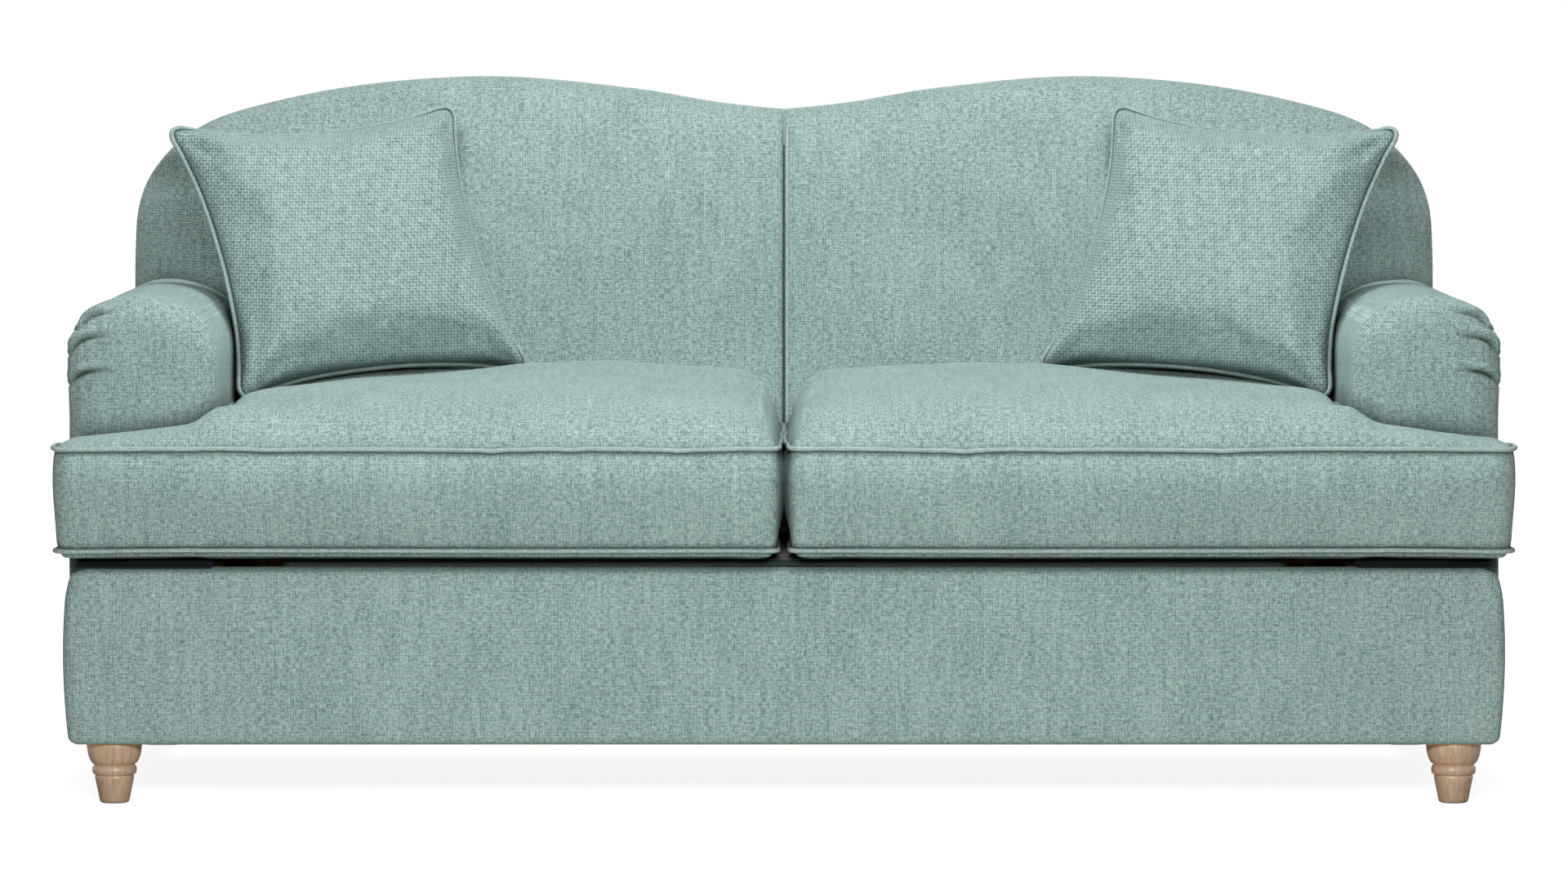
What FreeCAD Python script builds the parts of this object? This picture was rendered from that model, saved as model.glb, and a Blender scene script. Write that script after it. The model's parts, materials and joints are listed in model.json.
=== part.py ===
import FreeCAD, Part
import math
import os

# Sofa bed with English rolled arms, a two-hump tight back and two T-shaped
# seat cushions that lie on a three-fold bed. Units are millimetres.
# X is the width, -Y the front, +Y the back, +Z up. The origin is on the
# floor, under the middle of the sofa.

V = FreeCAD.Vector
os.makedirs("parts", exist_ok=True)

# Overall form
SOFA_FRONT = -470.0          # front face of the seat cushions
SOFA_BACK = 470.0            # rearmost point of the back
SEAT_HALF = 781.0            # half the width between the arms
ARM_WIDTH = 207.0
EAR_PROUD = 12.0             # the cushion ears stand out past the arms
SOFT_GAP = 0.3               # air between a soft piece and its neighbour

# Feet
FOOT_HEIGHT = 84.0
FOOT_TOP_R = 38.0
FOOT_NECK_R = 30.0
FOOT_BEAD_R = 31.5
FOOT_GROOVE_R = 27.5
FOOT_TIP_R = 20.0
FOOT_FLARE_HIGH = 27.0       # height of the flared top
FOOT_SHOULDER_HIGH = 10.0    # height of its curved lower part
FOOT_BEAD_HIGH = 13.0
FOOT_GROOVE_HIGH = 3.0
FOOT_TOP_EASE = 2.0          # how far the flare still widens above its shoulder
FOOT_TIP_EASE = 4.5          # bevel round the floor end
FOOT_INSET = 67.0            # from the arm's outer side to the foot's axis
FRONT_FOOT_INSET = 53.0      # from the base's front
REAR_FOOT_INSET = 71.0       # from the rear of the posts
REAR_FOOT_TOP = 60.0         # square rear foot, width at the top
REAR_FOOT_TIP = 42.0         # and at the floor
FOOT_BOLT_R = 5.0
FOOT_BOLT_IN_FOOT = 40.0
FOOT_BOLT_IN_BLOCK = 36.0
BOLT_FIT = 0.05              # radial clearance round a bolt or a fixed pin

# Base frame and its covers
BOARD = 18.0                 # plywood boards
COVER = 12.0                 # padded cover over a board
BASE_STEP_IN = 5.0           # of each end, from the arm's outer side
BASE_SET_BACK = 15.0         # of the front, from the cushions' front
BASE_TOP = 325.0             # top of the front rail
COVER_ROUND = 9.0
REAR_RAIL = 28.0
REAR_THICK = 37.0            # what the rear padding and rake add behind the posts
BLOCK_W = 85.0
BLOCK_D = 81.0
BLOCK_H = 40.0
BEARER = 25.0
SIDE_PANEL_DROP = 94.0       # of the side panel's top, below the arm's
ARM_RAIL_H = 60.0
TOP_BOARD_INSET = 30.0       # of the top board, from each side

# Arms
ARM_TOP = 694.0
ARM_TOP_AT = 0.541           # where the roll is highest, as a share of the width
ARM_ROLL = 92.0              # height of the roll
ARM_SET_BACK = 98.0          # from the cushions' front to the arm's
ARM_FRONT_ROUND = 24.0
ARM_PADDING = 28.0

# Back, as seen from the front
BACK_STEP_IN = 30.0          # of each end, from the arm's outer side
BACK_BOTTOM = 450.0
HUMP_TOP = 989.0
BACK_THICK = 335.0           # from the front's lower edge to the rearmost point
BACK_FACE_RAKE = 15.0
BACK_REAR_RAKE = 4.2
BACK_ROLL = 60.0             # padding over the top and ends of the frame
FRAME_THICK = 140.0          # from the frame's lower edge to the rearmost point
FRAME_RAKE = 9.5
POST = 22.0
POST_DROP = 129.0            # of the posts' tops, below the humps
TOP_RAIL_DROP = 199.0        # of the top rail's lower edge, below the humps
LOW_RAIL_H = 70.0
REAR_KINK_Z = 600.0          # the rear is upright up to here
WEB_WIDTH = 50.0
WEB_THICK = 1.5
WEB_COUNT = 10
BEYOND = 50.0                # how far a cutting shape reaches past the sofa

# Seat cushions
CUSHION_HALF_GAP = 1.0
CUSHION_SIDE_GAP = 9.0       # between a cushion and the arm
CUSHION_BORDER = 150.0       # height of the boxed border
CUSHION_CROWN = 95.0
CUSHION_REAR_GAP = 7.0       # between the cushions and the back
EAR_DEPTH = 95.0
CUSHION_EDGE_R = 14.0
SEAM_CROWN = 0.8             # share of the crown left at the centre seam
SIDE_CROWN = 0.6             # at the arm
EAR_CROWN = 0.15             # at the end of the ear

# Scatter cushions
SCATTER_SIZE = 450.0
SCATTER_THICK = 150.0
SCATTER_DRAW = 20.0          # how far each side is drawn in
SCATTER_CORNER = 0.07        # share of a side that its corner takes
SCATTER_IN = 161.0           # from the arm's inner side to the middle
SCATTER_FORWARD = 65.0       # from the back's front to the middle
SCATTER_YAW = 22.0
SCATTER_LEAN = 31.0
SCATTER_ROLL = 4.5
SCATTER_LIFT = 270.0         # start above the seat, before it is let down
SETTLE_STEPS = 8             # at most, until it rests on the seat

# Folding bed, closed inside the base
BED_CLEAR = 8.0              # under the bed, above the base's lower edge
BED_SET_BACK = 60.0          # from the cushions' front to the front hinge
HEAD_LENGTH = 740.0
FOLD_LENGTH = 545.0          # length of the middle and of the foot section
SLAT_BAND = 10.0
MATTRESS = 70.0
MATTRESS_SIDE_GAP = 6.0      # between the mattress and the side rails
MATTRESS_ROUND = 10.0
FACE_GAP = 2.0               # between two folded mattress faces
FRAME_GAP = 3.0              # between the two frames that lie back to back
END_GAP = 1.0                # from each section's end to its hinge axis
TUBE = 20.0
TUBE_WALL = 1.5
MECHANISM_ROOM = 85.0        # from the arm's inner side to the bed's side rail
CROSS_BAR = 30.0
BAR_FROM_END = 14.0          # clear of the hinge ears
BAR_UNDER = 2.0              # how far a cross bar lies under the mattress
SLAT_WIDTH = 53.0
SLAT_THICK = 7.0
SLAT_PITCH_MAX = 92.0
CAP_LENGTH = 14.0
CAP_WALL = 3.0
SLAT_FIT = 0.1

# Hinges, links and legs
PLATE = 5.0
PLATE_GAP = 0.5              # between two hinge plates side by side
PLATE_REACH = 62.0           # how far a plate runs along its rail
EAR_R = 9.0
EAR_CLIP = 0.45              # clipped corner of an ear, as a share of its radius
PACKER_INSET = 1.0           # of the packer under an outer plate
HINGE_PIN_R = 4.5
RUN_FIT = 0.05               # radial clearance of a turning pin
LAYER_GAP = 0.7              # between the layers in which pieces swing
HEAD_GAP = 0.3               # between a turning piece and its pin head
LEG_WIDTH = 12.0
LEG_DEPTH = 20.0
LEG_PIN_R = 5.0
LEG_INSET = 75.0             # from a leg's pivot to the section's end
LEG_FLOOR_GAP = 1.0
LEG_GLIDE = 14.0
LINK_LENGTH = 150.0
LINK_WIDTH = 24.0
LINK_THICK = 6.0
LINK_PIN_R = 6.0
BAR_CLIP = 0.42              # clipped corner of a leg or link, as a share of half its width
LINK_REST = -55.0            # angle of the links above +Y, bed folded
LINK_OPEN = 110.0            # and bed open
FRONT_LINK_AT = 130.0        # link pins along the head section
REAR_LINK_AT = 600.0
PIN_HEAD = 2.5
BRACKET_TOP = 265.0
BRACKET_BOTTOM = 190.0
BRACKET_END = 30.0           # bracket beyond each link pin
BRACKET_CORNER = 18.0        # cut off each corner
SCREW_R = 4.0
SCREW_DEPTH = 20.0
SCREW_SPREAD = 50.0          # from the middle of the bracket to each screw
STRAP_WIDTH = 40.0
STRAP_SPREAD = 80.0          # from the middle to each leg of the handle
STRAP_GRIP = 24.0            # height of the band across the legs
STRAP_THICK = 2.0

# Heights and layers that follow from the sizes above
ARM_INNER = SEAT_HALF
ARM_OUTER = ARM_INNER + ARM_WIDTH
ARM_TOP_X = ARM_INNER + ARM_TOP_AT * ARM_WIDTH
ARM_ROLL_Z = ARM_TOP - ARM_ROLL
ARM_FRONT = SOFA_FRONT + ARM_SET_BACK
EAR_HALF = ARM_OUTER + EAR_PROUD
BASE_HALF = ARM_OUTER - BASE_STEP_IN
BASE_FRONT = SOFA_FRONT + BASE_SET_BACK
REAR_BOARD_FACE = SOFA_BACK - REAR_THICK
SIDE_PANEL_TOP = ARM_TOP - SIDE_PANEL_DROP
BACK_HALF = ARM_OUTER - BACK_STEP_IN
BACK_FACE_Y = SOFA_BACK - BACK_THICK
FRAME_FACE_Y = SOFA_BACK - FRAME_THICK
POST_TOP_Z = HUMP_TOP - POST_DROP
TOP_RAIL_BOTTOM = HUMP_TOP - TOP_RAIL_DROP
CUSHION_REAR = BACK_FACE_Y - CUSHION_REAR_GAP
FOOT_X = ARM_OUTER - FOOT_INSET
FRONT_FOOT_Y = BASE_FRONT + FRONT_FOOT_INSET
REAR_FOOT_Y = REAR_BOARD_FACE - REAR_FOOT_INSET
BED_FRONT = SOFA_FRONT + BED_SET_BACK
RAIL_INNER = ARM_INNER - MECHANISM_ROOM
BASE_BOTTOM = FOOT_HEIGHT
BED_BOTTOM = BASE_BOTTOM + BED_CLEAR
FRONT_HINGE_Z = BED_BOTTOM + SLAT_BAND + MATTRESS + FACE_GAP / 2
MIDDLE_TOP = FRONT_HINGE_Z + FACE_GAP / 2 + MATTRESS + SLAT_BAND
FOOT_BOTTOM = MIDDLE_TOP + FRAME_GAP
STACK_TOP = FOOT_BOTTOM + SLAT_BAND + MATTRESS
REAR_HINGE_Y = BED_FRONT + FOLD_LENGTH
SEAT_BOTTOM = STACK_TOP + SOFT_GAP
SHELF_TOP = STACK_TOP
BOARD_FRONT = BASE_FRONT + COVER
BOARD_INNER = BOARD_FRONT + BOARD
REAR_RAIL_FACE = REAR_BOARD_FACE - REAR_RAIL
ARM_BOARD_OUT = BASE_HALF - BOARD
MATTRESS_HALF = RAIL_INNER - MATTRESS_SIDE_GAP
RAIL_OUTER = RAIL_INNER + TUBE
PLATE_A = RAIL_OUTER
PLATE_B = PLATE_A + PLATE + PLATE_GAP
END_LEG_X = PLATE_B + PLATE + 2 * LAYER_GAP
MIDDLE_LEG_X = END_LEG_X + LEG_WIDTH + HEAD_GAP + PIN_HEAD + LAYER_GAP
MIDDLE_LEG_HEAD = MIDDLE_LEG_X + LEG_WIDTH + HEAD_GAP + PIN_HEAD
LINK_X = MIDDLE_LEG_HEAD + LAYER_GAP + PIN_HEAD + HEAD_GAP
BRACKET_X = LINK_X + LINK_THICK + HEAD_GAP + PIN_HEAD + LAYER_GAP
CAVITY_HALF = BRACKET_X + PLATE
PANEL_IN = CAVITY_HALF + BEARER
PANEL_OUT = PANEL_IN + BOARD
LINK_RISE = LINK_LENGTH * (math.sin(math.radians(LINK_OPEN)) - math.sin(math.radians(LINK_REST)))
LEG_PIVOT_OPEN = 2 * FRONT_HINGE_Z - (MIDDLE_TOP - TUBE / 2) + LINK_RISE
LEG_REACH = LEG_PIVOT_OPEN - LEG_FLOOR_GAP
HUMP_HEIGHT = HUMP_TOP - BACK_BOTTOM


def tan(degrees):
    return math.tan(math.radians(degrees))


def box(x0, x1, y0, y1, z0, z1):
    low = V(min(x0, x1), min(y0, y1), min(z0, z1))
    return Part.makeBox(abs(x1 - x0), abs(y1 - y0), abs(z1 - z0), low)


def flat_face(corners):
    return Part.Face(Part.makePolygon(corners + corners[:1]))


def rod_x(radius, x0, x1, y, z):
    return Part.makeCylinder(radius, x1 - x0, V(x0, y, z), V(1, 0, 0))


def prism_yz(points, x0, x1):
    """Extrude a closed outline of (y, z) points from x0 to x1."""
    return flat_face([V(x0, y, z) for y, z in points]).extrude(V(x1 - x0, 0, 0))


def hex_x(radius, x0, x1, y, z):
    """Hexagonal bar along X, such as a bolt head or a standoff."""
    points = [(y + a, z + b) for a, b in ring(6, radius)]
    return prism_yz(points, x0, x1)


def ring(count, radius):
    """Corners of a regular outline, as pairs."""
    angles = [2 * math.pi * corner / count for corner in range(count)]
    return [(radius * math.cos(angle), radius * math.sin(angle)) for angle in angles]


def stud_x(radius, x0, x1, y, z):
    """Eight-sided shank along X, for screws that never turn."""
    points = [(y + a, z + b) for a, b in ring(8, radius)]
    return prism_yz(points, x0, x1)


def stud_z(radius, x, y, z, length):
    """Eight-sided shank along Z."""
    return flat_face([V(x + a, y + b, z) for a, b in ring(8, radius)]).extrude(V(0, 0, length))


def mirrored(shape):
    return shape.mirror(V(0, 0, 0), V(1, 0, 0))


def both_sides(shapes):
    return shapes + [mirrored(shape) for shape in shapes]


def save(name, solids):
    shape = solids[0] if len(solids) == 1 else Part.makeCompound(solids)
    shape.exportStep("parts/" + name + ".step")


def save_pair(name, solids):
    """Write a piece of the right side and its mirror image on the left."""
    save(name + "_right", solids)
    save(name + "_left", [mirrored(solid) for solid in solids])


def fused(shapes):
    whole = shapes[0].multiFuse(shapes[1:]) if len(shapes) > 1 else shapes[0]
    return whole.removeSplitter()


def path_wire(start, moves):
    """A closed wire from lines (one point) and arcs (a middle and an end)."""
    edges = []
    here = start
    for move in moves:
        if len(move) == 1:
            edges.append(Part.makeLine(here, move[0]))
        else:
            edges.append(Part.Arc(here, move[0], move[1]).toShape())
        here = move[-1]
    return Part.Wire(edges)


# Feet and bolts

def turned_foot(x, y):
    def p(radius, z):
        return V(radius, 0, z)

    top = FOOT_HEIGHT
    neck = top - FOOT_FLARE_HIGH
    bead_low = neck - FOOT_BEAD_HIGH
    bead_mid = (bead_low + neck) / 2
    groove = bead_low - FOOT_GROOVE_HIGH
    profile = path_wire(p(0, 0), [
        [p(FOOT_TIP_R - FOOT_TIP_EASE, 0)],
        [p(FOOT_TIP_R, FOOT_TIP_EASE)],
        [p(FOOT_GROOVE_R, groove)],
        [p(FOOT_GROOVE_R, bead_low)],
        [p(FOOT_BEAD_R, bead_mid)],
        [p(FOOT_GROOVE_R, neck)],
        [p(FOOT_NECK_R, neck)],
        [p(FOOT_TOP_R - FOOT_TOP_EASE, neck + FOOT_SHOULDER_HIGH)],
        [p(FOOT_TOP_R, top)],
        [p(0, top)],
        [p(0, 0)],
    ])
    foot = Part.Face(profile).revolve(V(0, 0, 0), V(0, 0, 1), 360)
    foot = foot.cut(bolt_hole())
    foot.translate(V(x, y, 0))
    return foot


def square_foot(x, y):
    def square(side, z):
        half = side / 2
        corners = [V(-half, -half, z), V(half, -half, z), V(half, half, z), V(-half, half, z)]
        return Part.makePolygon(corners + corners[:1])

    sections = [square(REAR_FOOT_TIP, 0.0), square(REAR_FOOT_TOP, FOOT_HEIGHT)]
    foot = Part.makeLoft(sections, True, True)
    foot = foot.cut(bolt_hole())
    foot.translate(V(x, y, 0))
    return foot


def bolt_hole():
    depth = FOOT_BOLT_IN_FOOT + BOLT_FIT
    return stud_z(FOOT_BOLT_R + BOLT_FIT, 0, 0, FOOT_HEIGHT - depth, depth + FOOT_BOLT_IN_BLOCK + BOLT_FIT)


def foot_places():
    return [(FOOT_X, FRONT_FOOT_Y), (-FOOT_X, FRONT_FOOT_Y), (FOOT_X, REAR_FOOT_Y), (-FOOT_X, REAR_FOOT_Y)]


def make_feet():
    save("front_feet", both_sides([turned_foot(FOOT_X, FRONT_FOOT_Y)]))
    save("rear_feet", both_sides([square_foot(FOOT_X, REAR_FOOT_Y)]))
    bolts = []
    blocks = []
    for x, y in foot_places():
        length = FOOT_BOLT_IN_FOOT + FOOT_BOLT_IN_BLOCK
        bolts.append(stud_z(FOOT_BOLT_R, x, y, FOOT_HEIGHT - FOOT_BOLT_IN_FOOT, length))
        blocks.append(corner_block(x, y))
    save("foot_bolts", bolts)
    save("corner_blocks", blocks)


def corner_block(x, y):
    """Hardwood block that carries a foot, in the corner of the base."""
    outer = ARM_BOARD_OUT - BOARD
    inner = outer - BLOCK_W
    y_front = BOARD_INNER if y < 0 else REAR_RAIL_FACE - BLOCK_D
    side = 1 if x > 0 else -1
    block = box(side * inner, side * outer, y_front, y_front + BLOCK_D, BASE_BOTTOM, BASE_BOTTOM + BLOCK_H)
    hole = bolt_hole()
    hole.translate(V(x, y, 0))
    return block.cut(hole)


# Base frame

def make_base():
    rail_half = BASE_HALF - COVER
    save("front_rail", [box(-rail_half, rail_half, BOARD_FRONT, BOARD_INNER, BASE_BOTTOM, BASE_TOP)])
    rear_top = BACK_BOTTOM - LOW_RAIL_H
    rear_half = PANEL_IN - POST
    save("rear_rail", [box(-rear_half, rear_half, REAR_RAIL_FACE, REAR_BOARD_FACE, BASE_BOTTOM, rear_top)])
    save_pair("bed_bearer", [bed_bearer()])
    save_pair("side_panel", [side_panel()])
    save("base_cover", [base_cover()])


def bed_bearer():
    bearer = box(CAVITY_HALF, PANEL_IN, BOARD_INNER, REAR_RAIL_FACE, BASE_BOTTOM, BASE_TOP)
    return bearer.cut(Part.makeCompound(bracket_screws(BOLT_FIT)))


def side_panel():
    return box(PANEL_IN, PANEL_OUT, BOARD_INNER, REAR_BOARD_FACE, BASE_BOTTOM, SIDE_PANEL_TOP).cut(
        box(PANEL_IN, PANEL_OUT, BOARD_INNER, ARM_FRONT + ARM_PADDING, BASE_TOP, SIDE_PANEL_TOP))


def base_cover():
    """Padded front, with its returns at both ends and the ear shelves."""
    rear = ARM_FRONT - SOFT_GAP
    outer = box(-BASE_HALF, BASE_HALF, BASE_FRONT, rear, BASE_BOTTOM, SHELF_TOP)
    rounded = [edge for edge in outer.Edges if is_outer_edge(edge, rear)]
    outer = outer.makeFillet(COVER_ROUND, rounded)
    half = BASE_HALF - COVER
    room = box(-half, half, BOARD_FRONT, rear, BASE_BOTTOM, BASE_TOP)
    seat_cut = box(-ARM_INNER, ARM_INNER, BASE_FRONT, rear, BASE_TOP, SHELF_TOP)
    cover = outer.cut(room).cut(seat_cut)
    lip = [edge for edge in cover.Edges if is_front_lip(edge)]
    return cover.makeFillet(COVER_ROUND, lip)


def is_front_lip(edge):
    bounds = edge.BoundBox
    at_top = abs(bounds.ZMin - BASE_TOP) < 0.01 and bounds.ZLength < 0.01
    return at_top and bounds.XLength > ARM_INNER and abs(bounds.YMin - BASE_FRONT) < 0.01


def is_outer_edge(edge, rear):
    centre = edge.BoundBox.Center
    at_rear = abs(centre.y - rear) < 1.0
    at_bottom = abs(centre.z - BASE_BOTTOM) < 1.0
    return not at_rear and not at_bottom


# Arms

def arm_wire(y, inset):
    """Outline of the arm seen from the front, drawn in by inset."""
    inner = ARM_INNER + inset
    outer = ARM_OUTER - inset
    top = ARM_TOP - inset
    foot_x = BASE_HALF - inset

    def p(x, z):
        return V(x, y, z)

    inner_bend = p(inner + 0.19 * (ARM_TOP_X - inner), top - 0.33 * (top - ARM_ROLL_Z))
    outer_bend = p(outer - 0.27 * (outer - ARM_TOP_X), top - 0.26 * (top - ARM_ROLL_Z))
    return path_wire(p(inner, BASE_BOTTOM), [
        [p(inner, ARM_ROLL_Z)],
        [inner_bend, p(ARM_TOP_X, top)],
        [outer_bend, p(outer, ARM_ROLL_Z)],
        [p(foot_x, BASE_BOTTOM)],
        [p(inner, BASE_BOTTOM)],
    ])


def arm_prism(inset, y0, y1):
    return Part.Face(arm_wire(y0, inset)).extrude(V(0, y1 - y0, 0))


def arm_boards():
    """Boards of the arm frame: two stumps, the top board and the lower rail."""
    outer_part = box(PANEL_OUT, ARM_OUTER, ARM_FRONT, REAR_BOARD_FACE, BASE_BOTTOM, ARM_TOP)
    front_y = ARM_FRONT + ARM_PADDING
    rear_y = REAR_BOARD_FACE - BOARD - ARM_PADDING
    stump = arm_prism(ARM_PADDING, front_y, front_y + BOARD).common(outer_part)
    above_block = box(PANEL_OUT, ARM_OUTER, ARM_FRONT, REAR_BOARD_FACE, BASE_BOTTOM + BLOCK_H, ARM_TOP)
    rear_stump = arm_prism(ARM_PADDING, rear_y, rear_y + BOARD).common(above_block)
    top_z = ARM_TOP - ARM_PADDING - BOARD
    top_board = box(PANEL_OUT + TOP_BOARD_INSET, ARM_BOARD_OUT - TOP_BOARD_INSET, front_y + BOARD, rear_y, top_z - BOARD, top_z)
    rail_in = ARM_BOARD_OUT - BOARD
    low_rail = box(rail_in, ARM_BOARD_OUT, BOARD_INNER, REAR_RAIL_FACE, BASE_BOTTOM, BASE_BOTTOM + ARM_RAIL_H)
    stump = stump.cut(low_rail)
    rear_stump = rear_stump.cut(low_rail)
    return [stump, rear_stump, top_board, low_rail]


def arm_form():
    """Outer form: upright below the cushion ear, rounded at the front above."""
    wires = []
    for depth, inset in [(0.0, 1.0), (0.2, 0.45), (0.5, 0.14), (1.0, 0.0)]:
        wires.append(arm_wire(ARM_FRONT + depth * ARM_FRONT_ROUND, inset * ARM_FRONT_ROUND))
    front = Part.makeLoft(wires, True, True)
    rest = arm_prism(0.0, ARM_FRONT + ARM_FRONT_ROUND, REAR_BOARD_FACE)
    low = box(0, ARM_OUTER, ARM_FRONT, REAR_BOARD_FACE, BASE_BOTTOM, SHELF_TOP)
    lower = arm_prism(0.0, ARM_FRONT, REAR_BOARD_FACE).common(low)
    return fused([front, rest, lower])


def arm_pad(boards):
    """Padding and cover of one arm, around its frame."""
    under_seat = box(0, PANEL_IN, ARM_FRONT, REAR_BOARD_FACE, BASE_BOTTOM, SHELF_TOP)
    block_room = box(0, ARM_BOARD_OUT, ARM_FRONT, REAR_BOARD_FACE, BASE_BOTTOM, BASE_BOTTOM + BLOCK_H)
    solids = [side_panel(), under_seat, block_room] + boards + back_posts() + back_rails()
    return arm_form().cut(Part.makeCompound(solids))


def make_arms():
    boards = arm_boards()
    save_pair("arm_frame", boards)
    save_pair("arm", [arm_pad(boards)])


# Back

# Outline of one half of the back, from the valley over the hump to the end.
# Each curve is a middle and an end: share of the half width, and share of
# the height below the hump.
BACK_VALLEY = 0.089
BACK_CURVES = [
    ((0.031, 0.088), (0.063, 0.0835)),
    ((0.240, 0.0325), (0.448, 0.0)),
    ((0.6555, 0.023), (0.825, 0.085)),
    ((0.910, 0.148), (0.966, 0.241)),
    ((0.993, 0.341), (0.999, 0.4805)),
]
BACK_END_FOOT = 0.996        # the end draws in a little at its foot


def back_outline(seam, end_inset, top_inset, mapped):
    """Outline of the right half of the back; mapped places each (x, z)."""
    width = BACK_HALF - end_inset - seam
    height = HUMP_HEIGHT - top_inset

    def p(across, down):
        return mapped(seam + across * width, BACK_BOTTOM + (1 - down) * height)

    moves = [[p(0, BACK_VALLEY)]]
    moves += [[p(*middle), p(*end)] for middle, end in BACK_CURVES]
    moves += [[p(BACK_END_FOOT, 1)], [p(0, 1)]]
    return path_wire(p(0, 1), moves)


def back_prism(inset, seam):
    """The right half of the back's outline, drawn in and run front to back."""
    wire = back_outline(seam, inset, inset, lambda x, z: V(x, 0, z))
    return Part.Face(wire).extrude(V(0, 2 * SOFA_BACK, 0))


def frame_face(z):
    return FRAME_FACE_Y + (z - BACK_BOTTOM) * tan(FRAME_RAKE)


def rear_face(z):
    return REAR_BOARD_FACE + max(0.0, z - REAR_KINK_Z) * tan(BACK_REAR_RAKE)


def back_posts():
    """Plywood posts, cut from the rear rail up to the top rail."""
    low = BACK_BOTTOM - LOW_RAIL_H
    outline = [
        (REAR_RAIL_FACE, BASE_BOTTOM),
        (REAR_BOARD_FACE, BASE_BOTTOM),
        (REAR_BOARD_FACE, REAR_KINK_Z),
        (rear_face(POST_TOP_Z), POST_TOP_Z),
        (frame_face(POST_TOP_Z), POST_TOP_Z),
        (frame_face(BACK_BOTTOM), BACK_BOTTOM),
        (REAR_RAIL_FACE, low),
    ]
    end_post = prism_yz(outline, PANEL_IN - POST, PANEL_IN)
    above_rail = box(-POST, POST, FRAME_FACE_Y, SOFA_BACK, low, HUMP_TOP)
    centre_post = prism_yz(outline, -POST / 2, POST / 2).common(above_rail)
    cutter = Part.makeCompound(back_rails())
    return [post.cut(cutter) for post in [end_post, mirrored(end_post), centre_post]]


def raked_slab(z0, z1, y_offset, thickness, half):
    points = [
        (frame_face(z0) + y_offset, z0),
        (frame_face(z0) + y_offset + thickness, z0),
        (frame_face(z1) + y_offset + thickness, z1),
        (frame_face(z1) + y_offset, z1),
    ]
    return prism_yz(points, -half, half)


def back_rails():
    """The humped top rail and the lower rail, let into the posts."""
    shape = fused(both_sides([back_prism(BACK_ROLL, 0.0)]))
    top_rail = raked_slab(TOP_RAIL_BOTTOM, HUMP_TOP, 0.0, POST, BACK_HALF).common(shape)
    low_rail = raked_slab(BACK_BOTTOM, BACK_BOTTOM + LOW_RAIL_H, 0.0, POST, PANEL_IN)
    return [top_rail.Solids[0], low_rail]


def back_webbing():
    straps = []
    pitch = 2 * (PANEL_IN - POST - WEB_WIDTH) / (WEB_COUNT - 1)
    for index in range(WEB_COUNT):
        centre = (index - (WEB_COUNT - 1) / 2) * pitch
        low = BACK_BOTTOM + LOW_RAIL_H / 2
        strap = raked_slab(low, TOP_RAIL_BOTTOM + WEB_WIDTH, -WEB_THICK, WEB_THICK, WEB_WIDTH / 2)
        strap.translate(V(centre, 0, 0))
        straps.append(strap)
    return straps


def back_cover():
    """Outside back: full width below, the humped outline above."""
    outer_top = rear_face(HUMP_TOP) + COVER
    profile = [
        (REAR_BOARD_FACE, BASE_BOTTOM),
        (REAR_BOARD_FACE + COVER, BASE_BOTTOM),
        (REAR_BOARD_FACE + COVER, REAR_KINK_Z),
        (outer_top, HUMP_TOP),
        (outer_top - COVER, HUMP_TOP),
        (REAR_BOARD_FACE, REAR_KINK_Z),
    ]
    slab = prism_yz(profile, -BASE_HALF, BASE_HALF)
    upper = fused(both_sides([back_prism(BACK_ROLL, 0.0)]))
    lower = box(-BASE_HALF, BASE_HALF, REAR_RAIL_FACE, SOFA_BACK, BASE_BOTTOM, REAR_KINK_Z)
    return slab.common(fused([upper, lower])).Solids[0]


# Depth behind the front face, then how far the seam side, the end and the
# top are drawn in at that depth. The front is crowned and the edges are soft.
BACK_SECTIONS = [
    (0.0, 110.0, 190.0, 165.0),
    (10.0, 45.0, 118.0, 104.0),
    (32.0, 15.0, 62.0, 56.0),
    (70.0, 3.0, 22.0, 22.0),
    (125.0, 0.0, 0.0, 0.0),
    (255.0, 0.0, 0.0, 0.0),
    (300.0, 0.0, 12.0, 25.0),
]


def back_pad():
    """One half of the tight back: crowned, and rolled over the frame."""
    last_depth, last_seam, last_end, last_top = BACK_SECTIONS[-1]
    rear_rise = (HUMP_HEIGHT - last_top) * tan(BACK_REAR_RAKE)
    depth_at_foot = SOFA_BACK - rear_rise - BACK_FACE_Y
    wires = []
    for depth, seam, end_inset, top_inset in BACK_SECTIONS:
        share = depth / last_depth
        foot_y = BACK_FACE_Y + share * depth_at_foot
        slope = (1 - share) * tan(BACK_FACE_RAKE) + share * tan(BACK_REAR_RAKE)

        def mapped(x, z, foot_y=foot_y, slope=slope):
            return V(x, foot_y + (z - BACK_BOTTOM) * slope, z)

        wires.append(back_outline(seam + SOFT_GAP / 2, end_inset, top_inset, mapped))
    pad = Part.makeLoft(wires, True, True)
    return pad.cut(frame_room()).cut(arm_room())


def frame_room():
    """The room behind and below the padding for the frame and the rear."""
    air = WEB_THICK + SOFT_GAP
    low = BACK_BOTTOM - BEYOND
    points = [
        (frame_face(low) - air, low),
        (SOFA_BACK + BEYOND, low),
        (SOFA_BACK + BEYOND, HUMP_TOP),
        (frame_face(HUMP_TOP) - air, HUMP_TOP),
    ]
    zone = prism_yz(points, 0, BASE_HALF)
    inner = back_prism(BACK_ROLL - SOFT_GAP, 0.0)
    return zone.common(inner)


def arm_room():
    return arm_prism(-SOFT_GAP, ARM_FRONT, SOFA_BACK + BEYOND)


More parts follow.
